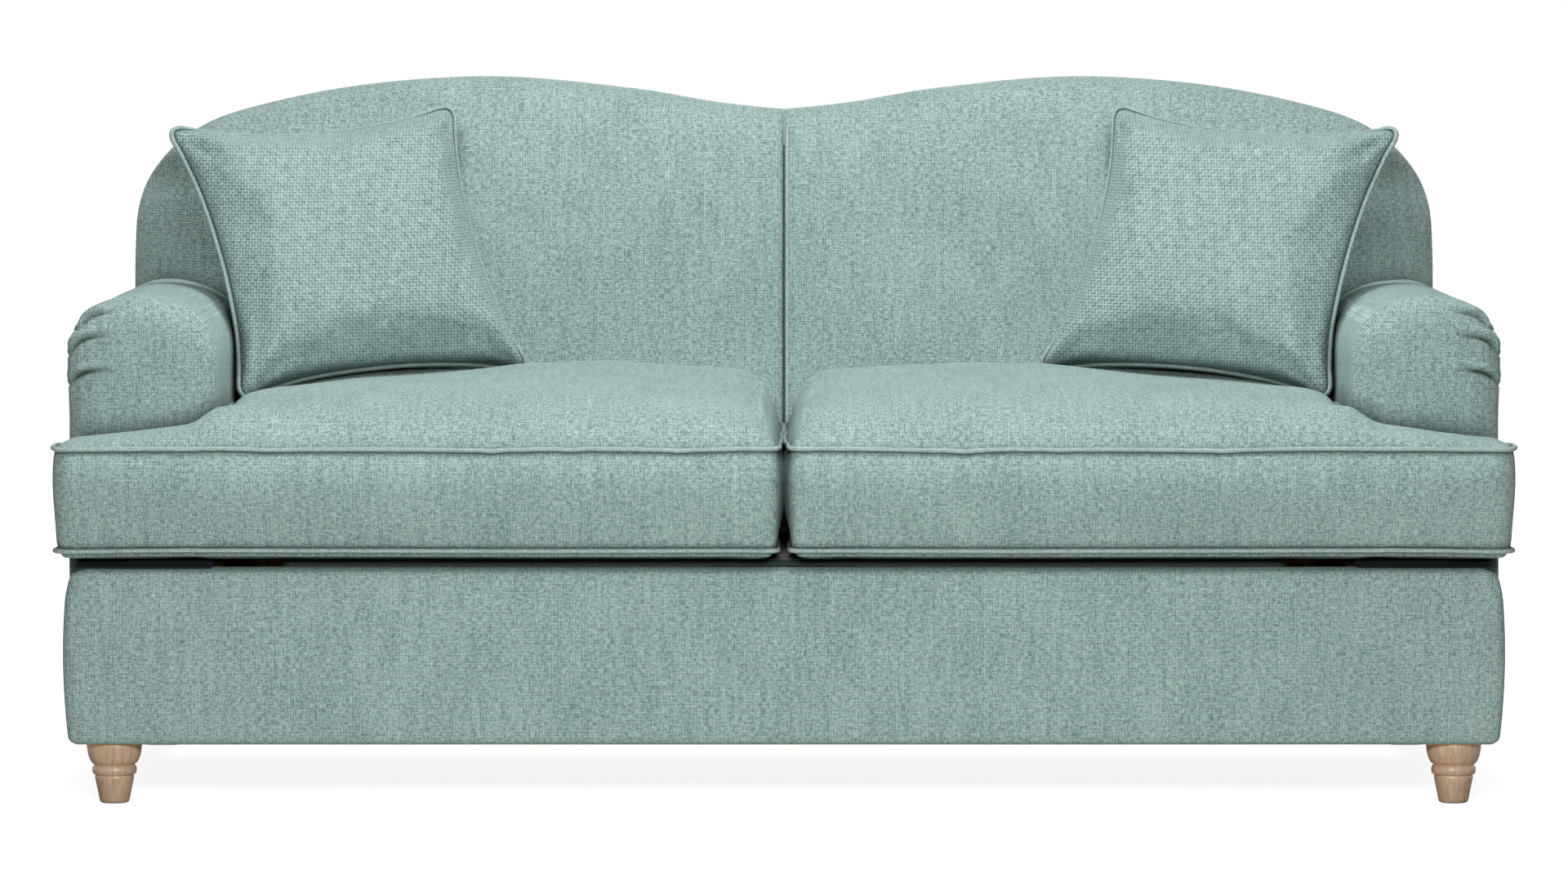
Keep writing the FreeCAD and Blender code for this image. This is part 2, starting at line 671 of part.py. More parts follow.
def make_back():
    save("back_posts", back_posts())
    save("back_rails", back_rails())
    save("back_webbing", back_webbing())
    save("back_cover", [back_cover()])
    save_pair("back_pad", [back_pad()])


# Folding bed

def section(length):
    """One flat section: its end with the raised hinge is at y = 0.

    Slats lie at z = 0 to SLAT_BAND, the mattress above them.
    """
    rail = box(RAIL_INNER, RAIL_OUTER, END_GAP, length - END_GAP, 0, TUBE)
    hollow = box(RAIL_INNER + TUBE_WALL, RAIL_OUTER - TUBE_WALL, END_GAP, length - END_GAP, TUBE_WALL, TUBE - TUBE_WALL)
    rail = rail.cut(hollow)
    first_bar = END_GAP + BAR_FROM_END
    last_bar = length - END_GAP - BAR_FROM_END - CROSS_BAR
    bars = []
    for y in [first_bar, last_bar]:
        bars.append(box(-RAIL_INNER, RAIL_INNER, y, y + CROSS_BAR, 0, SLAT_BAND - BAR_UNDER))
    return {"rails": both_sides([rail]), "bars": bars, "slats": slats(first_bar + CROSS_BAR, last_bar),
            "mattress": mattress(length)}


def slats(y0, y1):
    """Slats in plastic caps between the side rails, evenly spaced."""
    count = int(math.ceil((y1 - y0) / SLAT_PITCH_MAX))
    pitch = (y1 - y0) / count
    wood = []
    caps = []
    low = (SLAT_BAND - SLAT_THICK) / 2
    for index in range(count):
        y = y0 + (index + 0.5) * pitch
        half = SLAT_WIDTH / 2
        slat_half = RAIL_INNER - CAP_WALL
        wood.append(box(-slat_half, slat_half, y - half, y + half, low, low + SLAT_THICK))
        cap = box(RAIL_INNER - CAP_LENGTH, RAIL_INNER, y - half - CAP_WALL, y + half + CAP_WALL, 0, SLAT_BAND)
        pocket = box(0, slat_half + SLAT_FIT, y - half - SLAT_FIT, y + half + SLAT_FIT,
                     low - SLAT_FIT, low + SLAT_THICK + SLAT_FIT)
        caps.append(cap.cut(pocket))
    return wood, both_sides(caps)


def mattress(length):
    pad = box(-MATTRESS_HALF, MATTRESS_HALF, END_GAP, length - END_GAP, SLAT_BAND, SLAT_BAND + MATTRESS)
    long_edges = [edge for edge in pad.Edges if edge.BoundBox.YLength > MATTRESS]
    return pad.makeFillet(MATTRESS_ROUND, long_edges)


def hinge_plate(layer_x, hinge_z):
    """Plate on the side rail, with an ear round the hinge axis at y = 0."""
    start = BAR_FROM_END
    clip = EAR_R * EAR_CLIP
    if hinge_z > TUBE:
        top = hinge_z + EAR_R
        outline = [(start, 0), (PLATE_REACH, 0), (PLATE_REACH, TUBE), (EAR_R, hinge_z + clip),
                   (clip, top), (-clip, top), (-EAR_R, hinge_z + clip), (-EAR_R, hinge_z - clip)]
    else:
        low = hinge_z - EAR_R
        outline = [(-EAR_R, hinge_z + clip), (-EAR_R, hinge_z - clip), (-clip, low), (clip, low),
                   (EAR_R, hinge_z - clip), (start + EAR_R, 0), (PLATE_REACH, 0),
                   (PLATE_REACH, TUBE), (start, TUBE)]
    shapes = [prism_yz(outline, layer_x, layer_x + PLATE)]
    if layer_x > PLATE_A:
        shapes.append(box(PLATE_A, layer_x, start + EAR_R, PLATE_REACH, PACKER_INSET, TUBE - PACKER_INSET))
    return fused(shapes)


def pin_hole(radius, y, z):
    """A hole through both hinge plates, clear of the side rail."""
    return rod_x(radius, PLATE_A, PLATE_B + PLATE, y, z)


def frame_solid(parts, plates, holes):
    """Weld rails, bars and plates of a section into one frame."""
    frame = fused(parts["rails"] + parts["bars"] + both_sides(plates))
    return frame.cut(Part.makeCompound(both_sides(holes)))


def place_middle(shape):
    """Turn a flat middle section over on its raised hinge, as it is folded."""
    turned = shape.mirror(V(0, 0, 0), V(0, 0, 1))
    turned.translate(V(0, BED_FRONT, MIDDLE_TOP))
    return turned


def place_foot(shape):
    """The foot section runs forward from its hinge at the rear."""
    turned = shape.mirror(V(0, 0, 0), V(0, 1, 0))
    turned.translate(V(0, REAR_HINGE_Y, FOOT_BOTTOM))
    return turned


def place_head(shape):
    placed = shape.copy()
    placed.translate(V(0, BED_FRONT, BED_BOTTOM))
    return placed


def save_section(name, parts, frame, place):
    wood, caps = parts["slats"]
    save(name + "_frame", [place(frame)])
    save(name + "_slats", [place(slat) for slat in wood])
    save(name + "_slat_caps", [place(cap) for cap in caps])
    save(name + "_mattress", [place(parts["mattress"])])


def make_head():
    """Section that the links carry; it stays level and lifts the others."""
    parts = section(HEAD_LENGTH)
    hinge_z = FRONT_HINGE_Z - BED_BOTTOM
    plates = [hinge_plate(PLATE_A, hinge_z)]
    holes = [pin_hole(HINGE_PIN_R + BOLT_FIT, 0, hinge_z)]
    pins = [hinge_pin(0, hinge_z)]
    for y in [FRONT_LINK_AT, REAR_LINK_AT]:
        pins.append(rail_stud(LINK_X, LINK_THICK, LINK_PIN_R, y))
    save_section("head", parts, frame_solid(parts, plates, holes), place_head)
    save("head_pins", [place_head(pin) for pin in both_sides(pins)])


def hinge_pin(y, z):
    """Flush pin through two hinge plates, with a head outside them."""
    outer = PLATE_B + PLATE + LAYER_GAP / 2
    return rod_x(HINGE_PIN_R, PLATE_A, outer, y, z)


def rail_stud(layer_x, thickness, radius, y):
    """Hexagonal standoff on the side rail, ending in a pivot with a head."""
    z = TUBE / 2
    outer = layer_x + thickness + HEAD_GAP
    standoff = hex_x(EAR_R, RAIL_OUTER, layer_x - HEAD_GAP, y, z)
    shaft = rod_x(radius, layer_x - HEAD_GAP, outer, y, z)
    head = hex_x(EAR_R, outer, outer + PIN_HEAD, y, z)
    return fused([standoff, shaft, head])


def make_middle():
    """Section that books over on the head section; its legs fold along it."""
    parts = section(FOLD_LENGTH)
    raised_z = FRONT_HINGE_Z - BED_BOTTOM
    low_z = -FRAME_GAP / 2
    low_plate = hinge_plate(PLATE_A, low_z)
    low_plate = low_plate.mirror(V(0, FOLD_LENGTH / 2, 0), V(0, 1, 0))
    plates = [hinge_plate(PLATE_B, raised_z), low_plate]
    holes = [
        pin_hole(HINGE_PIN_R + RUN_FIT, 0, raised_z),
        pin_hole(HINGE_PIN_R + BOLT_FIT, FOLD_LENGTH, low_z),
    ]
    pins = [hinge_pin(FOLD_LENGTH, low_z), rail_stud(MIDDLE_LEG_X, LEG_WIDTH, LEG_PIN_R, FOLD_LENGTH - LEG_INSET)]
    save_section("middle", parts, frame_solid(parts, plates, holes), place_middle)
    save("middle_pins", [place_middle(pin) for pin in both_sides(pins)])


def make_foot():
    """Section under the seat cushions; it stays level while it travels."""
    parts = section(FOLD_LENGTH)
    low_z = -FRAME_GAP / 2
    plates = [hinge_plate(PLATE_B, low_z)]
    holes = [pin_hole(HINGE_PIN_R + RUN_FIT, 0, low_z)]
    studs = both_sides([rail_stud(END_LEG_X, LEG_WIDTH, LEG_PIN_R, FOLD_LENGTH - LEG_INSET)])
    save_section("foot", parts, frame_solid(parts, plates, holes), place_foot)
    save("foot_pins", [place_foot(stud) for stud in studs])
    save("pull_strap", [pull_strap()])


def pull_strap():
    """Webbing handle sewn to the front of the foot section."""
    y1 = BED_FRONT + END_GAP - SOFT_GAP
    y0 = y1 - STRAP_THICK
    low = FOOT_BOTTOM + SLAT_BAND
    high = STACK_TOP - SLAT_BAND
    outer = STRAP_SPREAD + STRAP_WIDTH / 2
    legs = []
    for side in [-1, 1]:
        centre = side * STRAP_SPREAD
        legs.append(box(centre - STRAP_WIDTH / 2, centre + STRAP_WIDTH / 2, y0, y1, low, high))
    legs.append(box(-outer, outer, y0, y1, high - STRAP_GRIP, high))
    return fused(legs)


def end_outline(half, length):
    """Flat bar outline along Y, with its corners clipped round y = 0."""
    clip = half * BAR_CLIP
    return [(-half, -clip), (-clip, -half), (length, -half), (length, half), (-clip, half), (-half, clip)]


def leg(layer_x, pivot_y, pivot_z, direction):
    """Oval leg and its plastic glide; direction is -1 to the front, 1 to the rear."""
    half = LEG_DEPTH / 2
    tip = LEG_REACH - LEG_GLIDE
    bar = prism_yz(end_outline(half, tip), layer_x, layer_x + LEG_WIDTH)
    bar = bar.cut(rod_x(LEG_PIN_R + RUN_FIT, layer_x, layer_x + LEG_WIDTH, 0, 0))
    glide = box(layer_x, layer_x + LEG_WIDTH, tip, LEG_REACH, -half, half)
    shapes = []
    for shape in [bar, glide]:
        if direction < 0:
            shape = shape.mirror(V(0, 0, 0), V(0, 1, 0))
        shape.translate(V(0, pivot_y, pivot_z))
        shapes.append(shape)
    return shapes


def make_legs():
    middle_z = MIDDLE_TOP - TUBE / 2
    bar, glide = leg(MIDDLE_LEG_X, REAR_HINGE_Y - LEG_INSET, middle_z, -1)
    save_pair("middle_leg", [bar])
    save_pair("middle_leg_glide", [glide])
    end_z = FOOT_BOTTOM + TUBE / 2
    bar, glide = leg(END_LEG_X, REAR_HINGE_Y - FOLD_LENGTH + LEG_INSET, end_z, 1)
    save_pair("end_leg", [bar])
    save_pair("end_leg_glide", [glide])


# Links and brackets

def link_pivots():
    """Upper-frame pin and fixed pin of each link, as (y, z) pairs at rest."""
    pairs = []
    for along in [FRONT_LINK_AT, REAR_LINK_AT]:
        moving = (BED_FRONT + along, BED_BOTTOM + TUBE / 2)
        dy = LINK_LENGTH * math.cos(math.radians(LINK_REST))
        dz = LINK_LENGTH * math.sin(math.radians(LINK_REST))
        pairs.append((moving, (moving[0] - dy, moving[1] - dz)))
    return pairs


def swing_link(moving, fixed):
    """Flat bar with clipped ends and a running hole at each."""
    half = LINK_WIDTH / 2
    clip = half * BAR_CLIP
    far = LINK_LENGTH + half
    outline = [(-half, -clip), (-clip, -half), (far - half + clip, -half), (far, -clip),
               (far, clip), (far - half + clip, half), (-clip, half), (-half, clip)]
    link = prism_yz(outline, LINK_X, LINK_X + LINK_THICK)
    link.rotate(V(0, 0, 0), V(1, 0, 0), LINK_REST)
    link.translate(V(0, fixed[0], fixed[1]))
    for y, z in [moving, fixed]:
        link = link.cut(rod_x(LINK_PIN_R + RUN_FIT, LINK_X, LINK_X + LINK_THICK, y, z))
    return link


def screw_places():
    """Two coach screws between the paths of the links."""
    front = link_pivots()[0][1]
    rear = link_pivots()[1][1]
    middle = (front[0] + rear[0]) / 2
    z = (BRACKET_TOP + BRACKET_BOTTOM) / 2
    return [(middle - SCREW_SPREAD, z), (middle + SCREW_SPREAD, z)]


def bracket_screws(clearance):
    """Shanks only, where clearance is given; these are the screws' holes."""
    screws = []
    for y, z in screw_places():
        shank = stud_x(SCREW_R + clearance, BRACKET_X, CAVITY_HALF + SCREW_DEPTH + clearance, y, z)
        if clearance > 0:
            screws.append(shank)
        else:
            head = hex_x(EAR_R, BRACKET_X - 2 * PIN_HEAD, BRACKET_X, y, z)
            screws.append(fused([shank, head]))
    return screws


def bracket():
    """Side plate on the bearer; it carries the fixed pins of both links."""
    fixed = [pair[1] for pair in link_pivots()]
    y0 = fixed[0][0] - BRACKET_END
    y1 = fixed[1][0] + BRACKET_END
    clip = BRACKET_CORNER
    outline = [(y0 + clip, BRACKET_BOTTOM), (y1 - clip, BRACKET_BOTTOM), (y1, BRACKET_BOTTOM + clip),
               (y1, BRACKET_TOP - clip), (y1 - clip, BRACKET_TOP), (y0 + clip, BRACKET_TOP),
               (y0, BRACKET_TOP - clip), (y0, BRACKET_BOTTOM + clip)]
    plate = prism_yz(outline, BRACKET_X, CAVITY_HALF)
    return plate.cut(Part.makeCompound(bracket_screws(BOLT_FIT)))


def bracket_pins():
    """Pins riveted to the bracket's face, one for each link."""
    pins = []
    for pair in link_pivots():
        y, z = pair[1]
        inner = LINK_X - HEAD_GAP
        outer = LINK_X + LINK_THICK + HEAD_GAP
        head = hex_x(EAR_R, inner - PIN_HEAD, inner, y, z)
        shaft = rod_x(LINK_PIN_R, inner, outer, y, z)
        collar = hex_x(EAR_R, outer, BRACKET_X, y, z)
        pins.append(fused([head, shaft, collar]))
    return pins


def make_mechanism():
    for name, pair in zip(["front_link", "rear_link"], link_pivots()):
        save_pair(name, [swing_link(pair[0], pair[1])])
    save_pair("bracket", [bracket()])
    save("bracket_screws", both_sides(bracket_screws(0.0)))
    save("bracket_pins", both_sides(bracket_pins()))


# Seat cushions

def cushion_section(depth, crown, drawn, with_ear):
    """Outline across the cushion, depth behind its front face."""
    y = SOFA_FRONT + depth
    side_x = ARM_INNER - CUSHION_SIDE_GAP
    x0 = CUSHION_HALF_GAP + drawn
    x1 = side_x if with_ear else side_x - drawn
    x2 = EAR_HALF - drawn if with_ear else x1
    low = SEAT_BOTTOM
    border = SEAT_BOTTOM + CUSHION_BORDER
    top = border + crown * CUSHION_CROWN
    seam_z = border + crown * CUSHION_CROWN * SEAM_CROWN
    side_z = border + crown * CUSHION_CROWN * SIDE_CROWN
    end_z = border + crown * CUSHION_CROWN * EAR_CROWN if with_ear else side_z
    soft = CUSHION_EDGE_R
    bend = soft * (1 - math.sqrt(0.5))
    middle_x = (x0 + side_x) / 2

    def p(x, z):
        return V(x, y, z)

    moves = [
        [p(x2 - soft, low)],
        [p(x2 - bend, low + bend)],
        [p(x2, low + soft)],
        [p(x2, end_z - soft)],
        [p(x2 - bend, end_z - bend)],
        [p(x2 - soft, end_z)],
    ]
    if with_ear:
        moves.append([p((x1 + x2) / 2, (side_z + end_z) / 2 + 2.0), p(x1 - soft, side_z)])
    moves += [
        [p(middle_x, top), p(x0 + soft, seam_z)],
        [p(x0 + bend, seam_z - bend)],
        [p(x0, seam_z - soft)],
        [p(x0, low + soft)],
        [p(x0 + bend, low + bend)],
        [p(x0 + soft, low)],
    ]
    return path_wire(p(x0 + soft, low), moves)


# Depth behind the front face, share of the crown, and how far the ends are
# drawn in there: first across the ears, then behind them.
EAR_REAR_CROWN = 0.65
EAR_STATIONS = [
    (0.0, 0.03, 9.0),
    (8.0, 0.13, 2.0),
    (30.0, 0.34, 0.0),
    (62.0, 0.52, 0.0),
]
REAR_STATIONS = [
    (0.16, 0.78, 0.0),
    (0.45, 0.90, 0.0),
    (0.76, 1.0, 0.0),
    (0.94, 0.82, 1.0),
    (1.0, 0.45, 12.0),
]


def seat_cushion():
    """Boxed T cushion with a full crown, on the foot section's mattress."""
    ears = []
    for depth, crown, drawn in EAR_STATIONS + [(EAR_DEPTH, EAR_REAR_CROWN, 0.0)]:
        ears.append(cushion_section(depth, crown, drawn, True))
    front = Part.makeLoft(ears, True, True)
    rest = CUSHION_REAR - SOFA_FRONT - EAR_DEPTH
    stations = [cushion_section(EAR_DEPTH, EAR_REAR_CROWN, 0.0, False)]
    for share, crown, drawn in REAR_STATIONS:
        stations.append(cushion_section(EAR_DEPTH + share * rest, crown, drawn, False))
    rear = Part.makeLoft(stations, True, True)
    return front.fuse(rear)


# Scatter cushions

def pillow_ring(depth, inset):
    """Square outline with drawn-in sides, in the plane y = depth."""
    half = SCATTER_SIZE / 2 * (1 - inset)
    draw = SCATTER_DRAW * (1 - inset)
    points = []
    for quarter in range(4):
        angle = math.radians(90 * quarter)
        for step in PILLOW_STEPS:
            along = step * half * (1 - SCATTER_CORNER)
            across = half - draw * (1 - step * step)
            x = along * math.cos(angle) + across * math.sin(angle)
            z = across * math.cos(angle) - along * math.sin(angle)
            points.append(V(x, depth, z))
    return points


# Points along half a side, as shares of it
PILLOW_STEPS = [-1.0, -0.55, 0.0, 0.55, 1.0]

# Share of half the thickness, and how far the outline has shrunk there
PILLOW_SECTIONS = [
    (0.0, 0.0),
    (0.16, 0.03),
    (0.40, 0.13),
    (0.65, 0.30),
    (0.85, 0.50),
    (0.96, 0.70),
    (1.0, 0.88),
]


def pillow():
    """Flat faces between rings that are scaled copies of one outline."""
    rings = []
    for share, inset in reversed(PILLOW_SECTIONS):
        rings.append(pillow_ring(-share * SCATTER_THICK / 2, inset))
    for share, inset in PILLOW_SECTIONS[1:]:
        rings.append(pillow_ring(share * SCATTER_THICK / 2, inset))
    faces = [flat_face(rings[0]), flat_face(rings[-1])]
    for near, far in zip(rings, rings[1:]):
        for index in range(len(near)):
            after = (index + 1) % len(near)
            faces.append(flat_face([near[index], near[after], far[after], far[index]]))
    shape = Part.makeSolid(Part.makeShell(faces))
    if shape.Volume < 0:
        shape.reverse()
    return shape


def scatter_cushion(seat):
    """Pillow in the corner, leaning back, let down until it meets the seat."""
    shape = pillow()
    shape.rotate(V(0, 0, 0), V(0, 1, 0), SCATTER_ROLL)
    shape.rotate(V(0, 0, 0), V(1, 0, 0), -SCATTER_LEAN)
    shape.rotate(V(0, 0, 0), V(0, 0, 1), -SCATTER_YAW)
    lift = SEAT_BOTTOM + CUSHION_BORDER + CUSHION_CROWN + SCATTER_LIFT
    shape.translate(V(ARM_INNER - SCATTER_IN, BACK_FACE_Y - SCATTER_FORWARD, lift))
    for step in range(SETTLE_STEPS):
        gap = shape.distToShape(seat)[0]
        if gap < 2 * SOFT_GAP:
            break
        shape.translate(V(0, 0, -(gap - SOFT_GAP)))
    return shape


def make_cushions():
    seat = seat_cushion()
    save_pair("seat_cushion", [seat])
    save_pair("scatter_cushion", [scatter_cushion(seat)])


make_feet()
make_base()
make_arms()
make_back()
make_head()
make_middle()
make_foot()
make_legs()
make_mechanism()
make_cushions()
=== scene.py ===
import json
import math

import bmesh
import bpy
import numpy as np
from mathutils import Matrix, Vector, noise


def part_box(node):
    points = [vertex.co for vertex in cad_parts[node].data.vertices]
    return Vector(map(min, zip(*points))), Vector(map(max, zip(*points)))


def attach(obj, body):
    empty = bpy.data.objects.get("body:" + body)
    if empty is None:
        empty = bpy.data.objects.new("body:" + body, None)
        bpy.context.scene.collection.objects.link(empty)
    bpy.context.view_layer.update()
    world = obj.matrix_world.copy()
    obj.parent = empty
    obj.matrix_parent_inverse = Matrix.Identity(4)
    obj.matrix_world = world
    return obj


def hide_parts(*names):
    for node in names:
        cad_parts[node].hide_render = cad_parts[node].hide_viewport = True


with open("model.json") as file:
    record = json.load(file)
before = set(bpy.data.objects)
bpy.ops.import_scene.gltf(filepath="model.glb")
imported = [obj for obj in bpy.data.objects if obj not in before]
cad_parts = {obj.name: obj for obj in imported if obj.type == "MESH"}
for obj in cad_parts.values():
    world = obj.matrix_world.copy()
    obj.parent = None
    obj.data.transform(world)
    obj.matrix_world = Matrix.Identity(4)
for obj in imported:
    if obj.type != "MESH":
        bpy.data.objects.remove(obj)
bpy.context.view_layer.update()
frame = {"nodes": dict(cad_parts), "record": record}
scene = bpy.context.scene
print("frame loaded:", len(frame["nodes"]), "CAD nodes")


# Meshes: everything below is in metres, in the CAD's frame

def addPiece(name, verts, faces, material, slotName="woven_fabric", body="sofa_frame"):
    mesh = bpy.data.meshes.new(name)
    mesh.from_pydata([tuple(map(float, v)) for v in verts], [], faces)
    mesh.validate()
    shape = bmesh.new()
    shape.from_mesh(mesh)
    bmesh.ops.recalc_face_normals(shape, faces=shape.faces[:])
    shape.to_mesh(mesh)
    shape.free()
    mesh.update()
    mesh.materials.append(material)
    mesh.shade_smooth()
    piece = bpy.data.objects.new(name, mesh)
    scene.collection.objects.link(piece)
    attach(piece, body)
    return piece


def gridFaces(rows, cols, wrap=False, start=0):  # quads of a rows x cols grid of points
    faces = []
    for r in range(rows - 1):
        here, above = start + r * cols, start + (r + 1) * cols
        for c in range(cols if wrap else cols - 1):
            n = (c + 1) % cols
            faces.append([here + c, here + n, above + n, above + c])
    return faces


def fanFaces(centre, ring, flip):  # triangles from a centre point to a closed ring of points
    return [[centre, b, a] if flip else [centre, a, b] for a, b in zip(ring, ring[1:] + ring[:1])]


def closedShape(rows, front, rear, flip=True):  # rings of points, closed to one point at each end
    count = len(rows[0])
    verts = np.vstack([[front]] + rows + [[rear]])
    last = 1 + (len(rows) - 1) * count
    faces = fanFaces(0, list(range(1, count + 1)), flip)
    faces += gridFaces(len(rows), count, wrap=True, start=1)
    faces += fanFaces(len(verts) - 1, list(range(last, last + count)), not flip)
    return verts, faces


def smoothLine(points, perSpan=8):  # Catmull-Rom line through 2-D or 3-D points
    p = np.array(points, float)
    p = np.vstack([2 * p[0] - p[1], p, 2 * p[-1] - p[-2]])
    out = []
    for i in range(1, len(p) - 2):
        a, b, c, d = p[i - 1:i + 3]
        for t in np.linspace(0, 1, perSpan, endpoint=False):
            out.append(0.5 * (2 * b + (c - a) * t + (2 * a - 5 * b + 4 * c - d) * t ** 2
                              + (3 * b - a - 3 * c + d) * t ** 3))
    out.append(p[-2])
    return np.array(out)


def evenly(line, count, closed=False):  # the same line with evenly spaced points
    p = np.array(line, float)
    if closed:
        p = np.vstack([p, p[:1]])
    at = np.concatenate([[0], np.cumsum(np.linalg.norm(np.diff(p, axis=0), axis=1))])
    want = np.linspace(0, at[-1], count, endpoint=not closed)
    return np.stack([np.interp(want, at, p[:, k]) for k in range(p.shape[1])], axis=1)


def roundedLine(corners, radii, perCorner=7):  # closed polygon with rounded corners
    out = []
    count = len(corners)
    for i in range(count):
        here = np.array(corners[i], float)
        radius = radii[i]
        if radius == 0:
            out.append(here)
            continue
        before = np.array(corners[i - 1], float) - here
        after = np.array(corners[(i + 1) % count], float) - here
        a = here + before / np.linalg.norm(before) * radius
        b = here + after / np.linalg.norm(after) * radius
        for t in np.linspace(0, 1, perCorner):
            out.append((1 - t) ** 2 * a + 2 * t * (1 - t) * here + t ** 2 * b)
    return np.array(out)


def smoothStep(value, low, high):
    t = np.clip((np.asarray(value, float) - low) / (high - low), 0, 1)
    return t * t * (3 - 2 * t)


def distanceTo(points, line):  # shortest distance from each 2-D point to an open line
    best = np.full(len(points), 1e9)
    for a, b in zip(line, line[1:]):
        d = b - a
        size = d @ d
        if size < 1e-14:
            continue
        t = np.clip((points - a) @ d / size, 0, 1)
        best = np.minimum(best, np.linalg.norm(points - a - t[:, None] * d, axis=1))
    return best


def rollDepth(distance, reach, depth):  # how far an upholstered edge has rolled back
    e = np.clip(distance / reach, 0, 1)
    return depth * (1 - np.sqrt(1 - (1 - e) ** 2.2))


def ripple(points, scale, strength, seed):  # soft unevenness of stuffing
    return np.array([noise.noise(Vector(p) / scale + Vector((seed, 2 * seed, 0))) for p in points]) * strength


def tubeAlong(points, radius, sides=8, closed=True):  # piping: a round tube along a line
    p = np.array(points, float)
    count = len(p)
    if closed:
        tangent = np.roll(p, -1, axis=0) - np.roll(p, 1, axis=0)
    else:
        tangent = np.gradient(p, axis=0)
    tangent /= np.linalg.norm(tangent, axis=1)[:, None] + 1e-12
    normal = np.zeros_like(p)
    side = np.cross(tangent[0], (0.3, 0.2, 0.93))
    side /= np.linalg.norm(side)
    for i in range(count):
        side = side - (side @ tangent[i]) * tangent[i]
        side /= np.linalg.norm(side)
        normal[i] = side
    other = np.cross(tangent, normal)
    if closed:  # spread what twist is left round the loop
        last = normal[-1] - (normal[-1] @ tangent[0]) * tangent[0]
        twist = math.atan2(last @ other[0], last @ normal[0])
        turn = -twist * np.arange(count) / count
        normal, other = (normal * np.cos(turn)[:, None] + other * np.sin(turn)[:, None],
                         other * np.cos(turn)[:, None] - normal * np.sin(turn)[:, None])
    verts = []
    for i in range(count):
        for k in range(sides):
            angle = 2 * math.pi * k / sides
            verts.append(p[i] + radius * (math.cos(angle) * normal[i] + math.sin(angle) * other[i]))
    faces = gridFaces(count + closed, sides, wrap=True)
    faces = [[index % len(verts) for index in face] for face in faces]
    if not closed:
        faces.append(list(range(sides))[::-1])
        faces.append(list(range((count - 1) * sides, count * sides)))
    return verts, faces


bothSides = (("left", -1), ("right", 1))


def sided(verts, faces, sign):  # the right-hand shape as it is, or mirrored for the left
    return np.array(verts) * (sign, 1, 1), faces if sign > 0 else [face[::-1] for face in faces]


def softBox(low, high, radius, step):  # closed box with rounded edges
    low, high = np.array(low, float), np.array(high, float)
    size = high - low
    radius = min(radius, 0.49 * min(size))
    ends = radius * np.array([0, 0.15, 0.35, 0.6])
    lines = []
    for extent in size:
        inner = np.linspace(radius, extent - radius, max(2, int(round((extent - 2 * radius) / step)) + 1))
        lines.append(np.concatenate([ends, inner, extent - ends[::-1]]))
    index, verts, faces = {}, [], []

    def corner(at):
        if at not in index:
            raw = np.array([line[n] for line, n in zip(lines, at)])
            core = np.clip(raw, radius, size - radius)
            away = raw - core
            length = np.linalg.norm(away)
            index[at] = len(verts)
            verts.append(low + (core + (away / length * max(abs(away)) if length > 0 else 0)))
        return index[at]

    for u, v, w in ((0, 1, 2), (0, 2, 1), (1, 2, 0)):  # two opposite sides at a time, across u and v
        for i in range(len(lines[u]) - 1):
            for j in range(len(lines[v]) - 1):
                for end in (0, len(lines[w]) - 1):
                    quad = []
                    for du, dv in ((0, 0), (0, 1), (1, 1), (1, 0)):
                        if (end > 0) != (w == 1):
                            du, dv = dv, du
                        at = {u: i + du, v: j + dv, w: end}
                        quad.append(corner((at[0], at[1], at[2])))
                    faces.append(quad)
    return np.array(verts), faces


# Materials

def linear(hexColour):
    channels = [int(hexColour[i:i + 2], 16) / 255 for i in (1, 3, 5)]
    return [c / 12.92 if c <= 0.04045 else ((c + 0.055) / 1.055) ** 2.4 for c in channels] + [1.0]


def addNode(material, kind, settings, output=0):  # a setting that is another node's output is linked
    node = material.node_tree.nodes.new("ShaderNode" + kind)
    for key, value in settings.items():
        if isinstance(value, bpy.types.NodeSocket):
            material.node_tree.links.new(value, node.inputs[key])
        elif isinstance(key, int) or key in node.inputs:
            node.inputs[key].default_value = value
        else:
            setattr(node, key, value)
    return node.outputs[output]


def calc(material, operation, *values):  # one step of arithmetic with numbers and nodes' outputs
    return addNode(material, "Math", {"operation": operation, **dict(enumerate(values))})


def between(material, value, low, high):  # 0 at low and under, 1 at high and over
    return addNode(material, "MapRange", {0: value, 1: low, 2: high})


def mixColour(material, share, deep, pale):
    return addNode(material, "Mix", {"data_type": "RGBA", 0: share, 6: deep, 7: pale}, 2)


def stretched(material, vector, factors):
    return addNode(material, "VectorMath", {"operation": "MULTIPLY", 0: vector, 1: factors})


def clouds(material, vector, scale, detail, roughness=0.5, distortion=0.0):
    return addNode(material, "TexNoise", {"Vector": vector, "Scale": scale, "Detail": detail,
                                          "Roughness": roughness, "Distortion": distortion}, "Fac")


def startMaterial(name, roughness, metallic=0.0, ior=1.5):
    material = bpy.data.materials.new(name)
    material.use_nodes = True
    shader = material.node_tree.nodes["Principled BSDF"]
    shader.inputs["Roughness"].default_value = roughness
    shader.inputs["Metallic"].default_value = metallic
    shader.inputs["IOR"].default_value = ior
    return material, shader


def finishMaterial(material, shader, colour, height, distance, roughness=None):
    bump = addNode(material, "Bump", {"Strength": 1.0, "Distance": distance, "Height": height})
    for socket, source in (("Base Color", colour), ("Normal", bump), ("Roughness", roughness)):
        if source is not None:
            material.node_tree.links.new(source, shader.inputs[socket])
    return material


